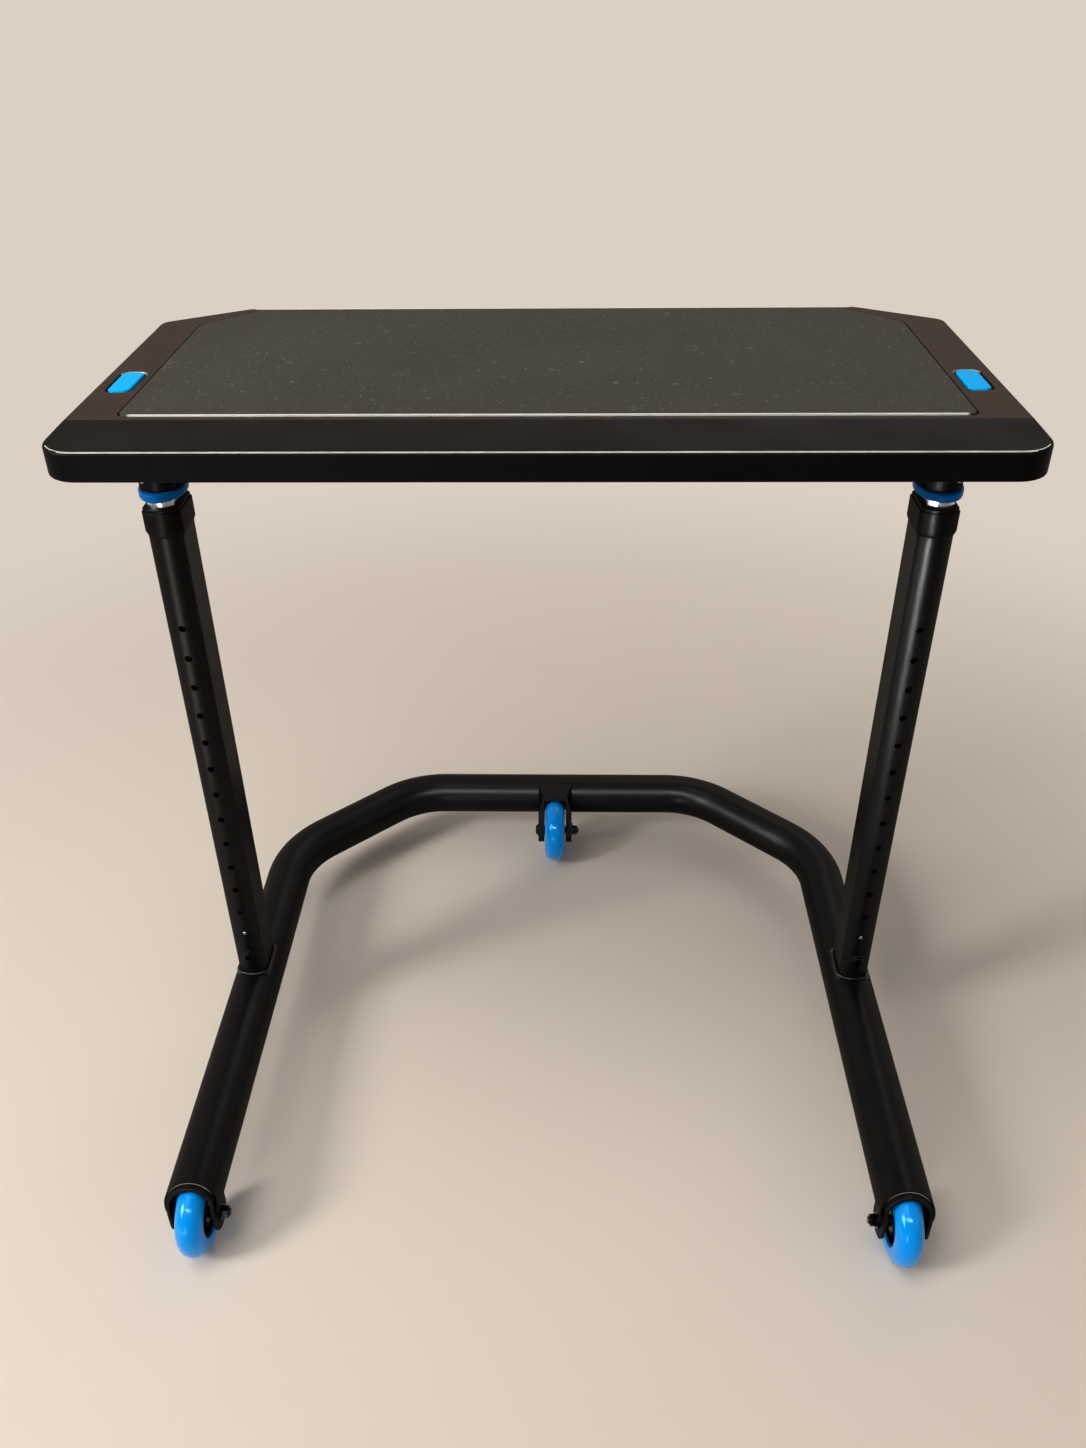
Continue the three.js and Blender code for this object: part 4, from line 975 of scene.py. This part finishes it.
def hexNut(name, middle, radius, length, axis, outer):
    # outer is the end with the turned corners
    limit = rodPiece("nutLimit", radius * hexShape["turned"], middle, length, axis, 64)
    bevelEdges(limit, rimAt(axis, outer), radius * hexShape["corner"], 3)
    piece = rodPiece(name, radius, middle, length, axis, 6)
    keepInside(piece, limit)
    return piece


def buttonHead(name, middle, axis, outer, facts):
    # round head with a six-sided key recess; outer is its free end
    head = rodPiece(name, facts["head"], middle, facts["headHeight"], axis, 64)
    bevelEdges(head, rimAt(axis, outer), facts["crown"], 6)
    spot = Vector(middle)
    spot["XYZ".index(axis)] = outer
    carve(head, rodPiece("keyCutter", facts["key"], spot, facts["headHeight"], axis, 6))
    return head


def discPiece(name, radius, middle, axis, near, far, edge, segments):
    # a washer or flange from near to far along the axis, rounded on its far rim
    spot = Vector(middle)
    spot["XYZ".index(axis)] = (near + far) / 2
    disc = rodPiece(name, radius, spot, abs(far - near), axis, 64)
    if edge:
        bevelEdges(disc, rimAt(axis, far), edge, segments)
    return disc


bolt = {"flange": 0.0088, "flangeHeight": 0.0014, "flangeEdge": 0.0005, "head": 0.007, "headHeight": 0.004,
        "crown": 0.0016, "key": 0.0026, "shank": 0.004, "shankEdge": 0.0006, "sunk": 0.001,
        "edgeSoftness": 0.0002}


def makeAxleBolt(name, headSide):
    low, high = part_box("axle_bolt_" + name)
    axle = middleOf("tyre_" + name)
    outer, tip = (high.x, low.x) if headSide > 0 else (low.x, high.x)
    seat = outer - headSide * bolt["headHeight"]
    head = buttonHead("axleBolt." + name, ((outer + seat) / 2, axle.y, axle.z), "X", outer, bolt)
    inHead, end = seat + headSide * bolt["sunk"], tip - headSide * bolt["sunk"]
    shank = rodPiece("shank", bolt["shank"], ((seat + tip) / 2, axle.y, axle.z), abs(inHead - end), "X", 48)
    bevelEdges(shank, rimAt("X", end), bolt["shankEdge"], 2)
    flange = discPiece("flange", bolt["flange"], axle, "X", seat, seat + headSide * bolt["flangeHeight"],
                       bolt["flangeEdge"], 3)
    weldOn(head, flange, shank)
    fitPiece(head, "base", "dark_steel", darkZinc, "axle_bolt_" + name, soften=bolt["edgeSoftness"])


nut = {"radius": 0.007, "height": 0.0065, "sunk": 0.0004, "washer": 0.0085, "washerHeight": 0.0016,
       "washerEdge": 0.0004, "tab": 0.013, "tabHalf": 0.0035, "tabTip": 0.15, "play": 0.0002,
       "standOff": 0.0003, "edgeSoftness": 0.0003}


def makeAxleNut(name, headSide):
    axle = middleOf("tyre_" + name)
    side = -headSide
    face = axle.x + side * (fork["half"] + nut["standOff"])
    washerFar = face + side * nut["washerHeight"]
    far = washerFar + side * nut["height"]
    piece = hexNut("axleNut." + name, ((washerFar + far - side * nut["sunk"]) / 2, axle.y, axle.z),
                   nut["radius"], nut["height"] + nut["sunk"], "X", far)
    washer = discPiece("washer", nut["washer"], axle, "X", face, washerFar, nut["washerEdge"], 3)
    tab = cubePiece("tab", (min(face, washerFar), axle.y - nut["tabHalf"], axle.z),
                    (max(face, washerFar), axle.y + nut["tabHalf"], axle.z + nut["tab"]))
    pickFaces(tab, lambda centre, facing: facing.z > 0.9)
    stretchPicked(axle, (1, nut["tabTip"], 1))
    weldOn(piece, washer, tab)
    carve(piece, rodPiece("nutBore", bolt["shank"] + nut["play"], axle, through, "X", 48))
    fitPiece(piece, "base", "dark_steel", darkZinc, "axle_nut_" + name, soften=nut["edgeSoftness"], angle=35)


fork = {"half": 0.0245, "plate": 0.0036, "archRadius": 0.026, "ear": 0.018, "axleHole": 0.0043,
        "softness": 0.0005, "stepHeight": 0.01315, "leanDeep": 0.0145, "leanHigh": 0.054, "leanRoot": 0.02,
        "wide": 0.04}


def roundEars(limit, bottom):
    def wanted(edge):
        a, b = (point.co for point in edge.verts)
        return abs(a.x - b.x) > fork["wide"] and a.z < bottom + hair
    bevelEdges(limit, wanted, fork["ear"] - hair, 14)


def axleCutter(axle):
    return rodPiece("axleCutter", fork["axleHole"], axle, through, "X", 32)


def makeFrontFork(name):
    node = "front_fork_" + name
    low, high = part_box(node)
    axle = middleOf("tyre_front_" + name)
    arch, ear, wide = fork["archRadius"], fork["ear"], fork["wide"]
    height = high.z - arch
    piece = rodPiece("frontFork." + name, arch, (axle.x, (low.y + high.y) / 2, height), high.y - low.y, "Y")
    for side in sides.values():
        cutAway(piece, (axle.x + side * fork["half"], 0, 0), (side, 0, 0))
    cutAway(piece, (0, 0, height), (0, 0, -1), fill=False)
    dropFaces(piece, lambda centre, facing: abs(facing.y) > 0.9)
    pickEdges(piece, lambda edge: edge.is_boundary and all(point.co.z < height + hair for point in edge.verts))
    bpy.ops.mesh.extrude_edges_move(TRANSFORM_OT_translate={"value": (0, 0, low.z - height)})
    closeEdit()
    faceOut(piece)
    thicken(piece, fork["plate"])
    # side outline: round ears below the axle, a slanted front and a short skirt behind
    limit = cubePiece("forkLimit", (axle.x - wide, axle.y - ear, low.z),
                      (axle.x + wide, high.y, high.z + spare))
    cutAway(limit, (0, axle.y - ear, axle.z + fork["leanRoot"]),
            Vector((0, -fork["leanHigh"], fork["leanDeep"])).normalized())
    carve(limit, cubePiece("skirtCutter", (axle.x - wide - beyond, axle.y + ear, low.z - beyond),
                           (axle.x + wide + beyond, high.y + beyond, height - fork["stepHeight"])))
    roundEars(limit, low.z)
    keepInside(piece, limit)
    carve(piece, axleCutter(axle))
    fitPiece(piece, "base", "black_steel", blackPaint, node, soften=fork["softness"])


rearFork = {"plate": 0.0085, "nose": 0.011, "noseHalf": 0.0175, "taperEnd": 0.012, "shoulderDrop": 0.018,
            "roof": 0.0033, "roofFall": 0.0032, "guard": 0.002, "guardGap": 0.0003, "guardTop": 0.004,
            "cutRise": 0.02, "barGap": 0.0002, "softness": 0.0007, "corners": 128}


def makeRearFork():
    low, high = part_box("rear_fork")
    axle = middleOf("tyre_rear")
    top, barY = tubeHigh.z, tubeHigh.y - tubeRadius
    half, ear, wide = fork["half"], fork["ear"], fork["wide"]
    noseY = axle.y + rearFork["nose"]
    taperY = barY - rearFork["taperEnd"]
    front = axle.y - 2 * ear
    share = (taperY - front) / (taperY - noseY)
    roofHalf = half - (half - rearFork["noseHalf"]) * share
    shoulder = top - rearFork["shoulderDrop"] * share
    piece = cubePiece("rearFork", (axle.x - half, front, low.z - beyond), (axle.x + half, barY, top))
    for side in sides.values():
        start = Vector((axle.x + side * half, taperY, top))
        lower = Vector((axle.x + side * half, front, shoulder)) - start
        inner = Vector((axle.x + side * roofHalf, front, top)) - start
        slope = lower.cross(inner).normalized()
        cutAway(piece, start, slope if slope.z > 0 else -slope)
    # side outline: round ears, a slanted front edge, a roof that falls to the back
    limit = cubePiece("forkLimit", (axle.x - wide, axle.y - ear, low.z), (axle.x + wide, barY, top))
    cutAway(limit, (0, axle.y - ear, axle.z), Vector((0, axle.z - top, noseY - axle.y + ear)).normalized())
    cutAway(limit, (0, noseY, top), Vector((0, rearFork["roofFall"], barY - noseY)).normalized())
    backY, backZ = barY - tubeRadius / 2, tubeAxis - tubeRadius / 2
    below = cubePiece("backCutter", (axle.x - wide - beyond, axle.y + ear, low.z - beyond),
                      (axle.x + wide + beyond, barY + beyond, tubeAxis + rearFork["cutRise"]))
    cutAway(below, (0, backY, backZ), Vector((0, axle.z - backZ, backY - axle.y - ear)).normalized())
    carve(limit, below)
    roundEars(limit, low.z)
    keepInside(piece, limit)
    inside = half - rearFork["plate"]
    ceiling = top - rearFork["roof"] - rearFork["roofFall"]
    carve(piece, cubePiece("roomCutter", (axle.x - inside, front - beyond, low.z - 2 * beyond),
                           (axle.x + inside, barY + beyond, ceiling)))
    # curved guard between the wheel and the crossbar
    gap, corners = rearFork["guardGap"], rearFork["corners"]
    guardRadius = baseTube["wellRadius"] - gap
    guard = rodPiece("guard", guardRadius, axle, 2 * (inside + gap), "X", corners)
    carve(guard, rodPiece("guardBore", guardRadius - rearFork["guard"], axle, through, "X", corners))
    keepInside(guard, cubePiece("guardLimit", (axle.x - half, noseY, axle.z),
                                (axle.x + half, barY, top - rearFork["guardTop"])))
    weldOn(piece, guard)
    bar = rodPiece("barCutter", tubeRadius + rearFork["barGap"], (axle.x, barY, tubeAxis), through, "X")
    carve(bar, rodPiece("drum", guardRadius + hair, axle, 2 * (inside - rearFork["barGap"]), "X", corners))
    carve(piece, bar, axleCutter(axle))
    fitPiece(piece, "base", "black_steel", blackPaint, "rear_fork",
             soften=rearFork["softness"], segments=3, angle=35)


for wheelName, headSide in (("front_left", -1), ("front_right", 1), ("rear", -1)):
    makeTyre(wheelName)
    makeWheelCore(wheelName)
    makeAxleBolt(wheelName, headSide)
    makeAxleNut(wheelName, headSide)
for sideName in sides:
    makeFrontFork(sideName)
makeRearFork()
print("wheels and forks made")

# foot bolts, sockets, pins and the cover below
footBolt = {"head": 0.0056, "headHeight": 0.003, "crown": 0.0012, "key": 0.0022, "washer": 0.007,
            "washerHeight": 0.0012, "washerEdge": 0.0005, "shank": 0.003, "spare": 0.001, "sunk": 0.0004,
            "edgeSoftness": 0.0002}


def makeFootBolt(name):
    node = "foot_bolt_" + name
    low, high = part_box(node)
    at, z = axisOf(name), middleOf(node).z
    middle = Vector((*at, z))
    seat = low.y + footBolt["headHeight"]
    face = seat + footBolt["washerHeight"]
    backFace = high.y - footBolt["headHeight"]
    piece = buttonHead("footBolt." + name, (at[0], (low.y + seat) / 2, z), "Y", low.y, footBolt)
    washer = discPiece("washer", footBolt["washer"], middle, "Y", face, seat, footBolt["washerEdge"], 4)
    back = discPiece("washer", footBolt["washer"], middle, "Y", backFace - footBolt["washerHeight"],
                     backFace, 0, 0)
    backNut = hexNut("nut", (at[0], (backFace + high.y - footBolt["sunk"]) / 2, z), footBolt["head"],
                     footBolt["headHeight"] + footBolt["sunk"], "Y", high.y)
    shank = rodPiece("shank", footBolt["shank"], (at[0], (seat + backFace) / 2, z),
                     backFace - seat + 2 * footBolt["spare"], "Y", 40)
    weldOn(piece, washer, shank, back, backNut)
    fitPiece(piece, "base", "dark_steel", darkZinc, node, soften=footBolt["edgeSoftness"])
    giveFinish(piece, beadPaint, lambda centre, facing: centre.y < face + spare
               and Vector((centre.x - at[0], centre.z - z)).length > footBolt["head"])


screw = {"turn": 28, "rise": 0.013, "seat": 0.0218, "head": 0.004, "headHeight": 0.0022, "headEdge": 0.0009,
         "shank": 0.002, "shankSunk": 0.0018, "shankLength": 0.004, "key": 0.0016, "play": 0.0002}


def screwLine(name):
    # where a socket's screw points out of the tube's axis, its turn and its way out
    turn = sides[name] * math.radians(screw["turn"])
    at = axisOf(name)
    root = Vector((at[0], at[1] - section["setback"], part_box("leg_socket_" + name)[0].z + screw["rise"]))
    return root, turn, Vector((math.sin(turn), -math.cos(turn), 0))


def makeSocketScrew(name):
    root, turn, way = screwLine(name)
    end = root + way * (screw["seat"] + screw["headHeight"])
    head = rodPiece("socketScrew." + name, screw["head"], end - way * screw["headHeight"] / 2,
                    screw["headHeight"], "Y", 48, turn)
    bevelEdges(head, lambda edge: all((point.co - end).dot(way) > -hair for point in edge.verts),
               screw["headEdge"])
    carve(head, rodPiece("keyCutter", screw["key"], end, screw["headHeight"], "Y", 6, turn))
    weldOn(head, rodPiece("shank", screw["shank"], root + way * (screw["seat"] - screw["shankSunk"]),
                          screw["shankLength"], "Y", 32, turn))
    fitPiece(head, "desk", "plain_steel", bareSteel, "socket_screw_" + name)


pin = {"depth": 0.017, "half": 0.005, "wedgeRise": 0.005, "windowFront": -0.0183, "windowBack": -0.0084,
       "windowHalf": 0.0023, "windowDrop": 0.02, "radius": 0.0032, "root": 0.001, "dome": 0.0024,
       "edgeSoftness": 0.0002}


def makeLockPin(name):
    node = "lock_pin_" + name
    low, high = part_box(node)
    x, y = axisOf(name)
    z = middleOf(node).z
    front = high.y - pin["depth"]
    piece = cubePiece("lockPin." + name, (x - pin["half"], front, low.z), (x + pin["half"], high.y, high.z))
    # window with a 45 degree face for the push rod's wedge
    wedgeTop, back = z + pin["wedgeRise"], y + pin["windowBack"]
    window = cubePiece("window", (x - pin["windowHalf"], y + pin["windowFront"], wedgeTop - pin["windowDrop"]),
                       (x + pin["windowHalf"], back, high.z + beyond))
    cutAway(window, (0, back, wedgeTop), Vector((0, 1, -1)).normalized())
    carve(piece, window)
    end = front + pin["root"]
    nose = rodPiece("nose", pin["radius"], (x, (low.y + end) / 2, z), end - low.y, "Y", 48)
    bevelEdges(nose, rimAt("Y", low.y), pin["dome"], 6)
    weldOn(piece, nose)
    fitPiece(piece, "pin_" + name, "plain_steel", pinSteel, node, soften=pin["edgeSoftness"], angle=50)


flange = {"top": 0.0076, "thick": 0.0032, "outer": 0.020, "inner": 0.056, "halfDepth": 0.072, "corner": 0.006,
          "screwInset": 0.007}
lowScrew = {"head": 0.0038, "height": 0.0022, "edge": 0.0009, "key": 0.0016, "play": 0.0003, "root": 0.0002}


def makeLowScrew(x, y, face):
    end, height = face - lowScrew["height"], lowScrew["height"] + lowScrew["root"]
    head = rodPiece("screw", lowScrew["head"], (x, y, end + height / 2), height, corners=40)
    bevelEdges(head, rimAt("Z", end), lowScrew["edge"])
    carve(head, rodPiece("keyCutter", lowScrew["key"], (x, y, end), lowScrew["height"], corners=6))
    return head


def flangeSpots(name):
    at, side = axisOf(name), sides[name]
    across = (flange["outer"] - flange["screwInset"], flange["screwInset"] - flange["inner"])
    deep = flange["halfDepth"] - flange["screwInset"]
    return [(at[0] + side * place, at[1] + end * deep) for place in across for end in (-1, 1)]


socket = {"inset": -0.0005, "bore": -0.0037, "overlap": 0.001, "cutAt": 0.022, "cutLength": 0.02,
          "edge": 0.0008}


def makeSocket(name):
    node, at, side = "leg_socket_" + name, axisOf(name), sides[name]
    top = deskLow.z + flange["top"]
    face = top - flange["thick"]
    piece = ovalSleeve("legSocket." + name, at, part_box(node)[0].z, face + socket["overlap"], socket["inset"],
                       socket["bore"])
    ends = sorted((at[0] - side * flange["inner"], at[0] + side * flange["outer"]))
    plate = cubePiece("flange", (ends[0], at[1] - flange["halfDepth"], face),
                      (ends[1], at[1] + flange["halfDepth"], top))
    bevelEdges(plate, isUpright, flange["corner"], 6)
    carve(plate, ovalPiece("flangeBore", at, face - beyond, top + beyond, socket["bore"]))
    weldOn(piece, plate)
    root, turn, way = screwLine(name)
    carve(piece, rodPiece("screwCutter", screw["shank"] + screw["play"], root + way * socket["cutAt"],
                          socket["cutLength"], "Y", 32, turn))
    roundEdges(piece, socket["edge"], 3, 50)
    smoothPiece(piece)
    joinPieces("legSocket." + name, [piece] + [makeLowScrew(x, y, face) for x, y in flangeSpots(name)])
    fitPiece(piece, "desk", "black_plastic", blackPlastic, node)


cover = {"rise": 0.0006, "thick": 0.0032, "inset": 0.0038, "border": 0.014, "panel": 0.0010, "ribs": 9,
         "ribPitch": 0.055, "ribHalf": 0.0016, "ribStart": 0.030, "ribHeight": 0.0025, "screw": 0.016,
         "frontScrew": 0.015, "padOuter": 0.022, "padInner": 0.060, "padHalfDepth": 0.080, "padCorner": 0.008,
         "padDrop": 0.0005, "socketGap": -0.0002, "edgeSoftness": 0.0004}


def makeCover():
    low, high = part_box("underside_cover")
    face = deskLow.z + cover["rise"]
    piece = platePiece("undersideCover", Vector((low.x, low.y, face)),
                       Vector((high.x, high.y, face + cover["thick"])), deskTop["chamferWide"],
                       deskTop["chamferDeep"], deskTop["frontCorner"] - cover["inset"],
                       deskTop["rearCorner"] - cover["inset"] / 2)
    # shallow panel inside a border
    stepFace(piece, lambda centre, facing: facing.z < -0.9, cover["border"], (0, 0, cover["panel"]))
    for name, side in sides.items():
        x, y = axisOf(name)
        ends = sorted((x + side * cover["padOuter"], x - side * cover["padInner"]))
        pad = cubePiece("pad", (ends[0], y - cover["padHalfDepth"], face),
                        (ends[1], y + cover["padHalfDepth"], face + cover["thick"] - cover["padDrop"]))
        bevelEdges(pad, isUpright, cover["padCorner"], 6)
        weldOn(piece, pad)
    half = cover["ribHalf"]
    for index in range(cover["ribs"]):
        x = (index - (cover["ribs"] - 1) / 2) * cover["ribPitch"]
        weldOn(piece, cubePiece("rib", (x - half, deskLow.y + cover["ribStart"], face + hair),
                                (x + half, deskHigh.y - cover["ribStart"], face + cover["ribHeight"])))
    cutters = [ovalPiece("socketHole", axisOf(name), face - beyond, face + 2 * beyond, cover["socketGap"])
               for name in sides]
    for name in sides:
        cutters += [rodPiece("screwHole", lowScrew["head"] + lowScrew["play"], (x, y, face), 4 * beyond,
                             corners=32) for x, y in flangeSpots(name)]
    carve(piece, *cutters)
    roundEdges(piece, cover["edgeSoftness"])
    smoothPiece(piece)
    edge, front, rear = deskHigh.x - cover["screw"], deskLow.y + cover["screw"], deskHigh.y - cover["screw"]
    spots = ((edge, front + cover["frontScrew"]), (edge, rear - deskTop["chamferDeep"]),
             (deskHigh.x / 3, front), (edge - deskTop["chamferWide"], rear))
    screws = [makeLowScrew(side * x, y, face) for side in sides.values() for x, y in spots]
    joinPieces("undersideCover", [piece] + screws)
    fitPiece(piece, "desk", "black_plastic", coverPlastic, "underside_cover")


for sideName in sides:
    for makePart in (makeFootBolt, makeSocket, makeSocketScrew, makeLockPin):
        makePart(sideName)
makeCover()
print("bolts, sockets, pins and cover made")

# what keeps its own shape
# painted shade: the glide bushes and wheel bearings get near-black finishes, where they show through the column
# holes and beside the wheels
paintedShadeFinishes = {"glide_bush": blackPlastic, "wheel_bearings": darkZinc}
for name, node in nodes.items():
    if not node.hide_render:
        for index in range(len(node.material_slots)):
            known = finishes.get(node.material_slots[index].material.name, blackPlastic)
            node.material_slots[index].material = next(
                (paintedShadeFinishes[key] for key in paintedShadeFinishes if name.startswith(key)), known)
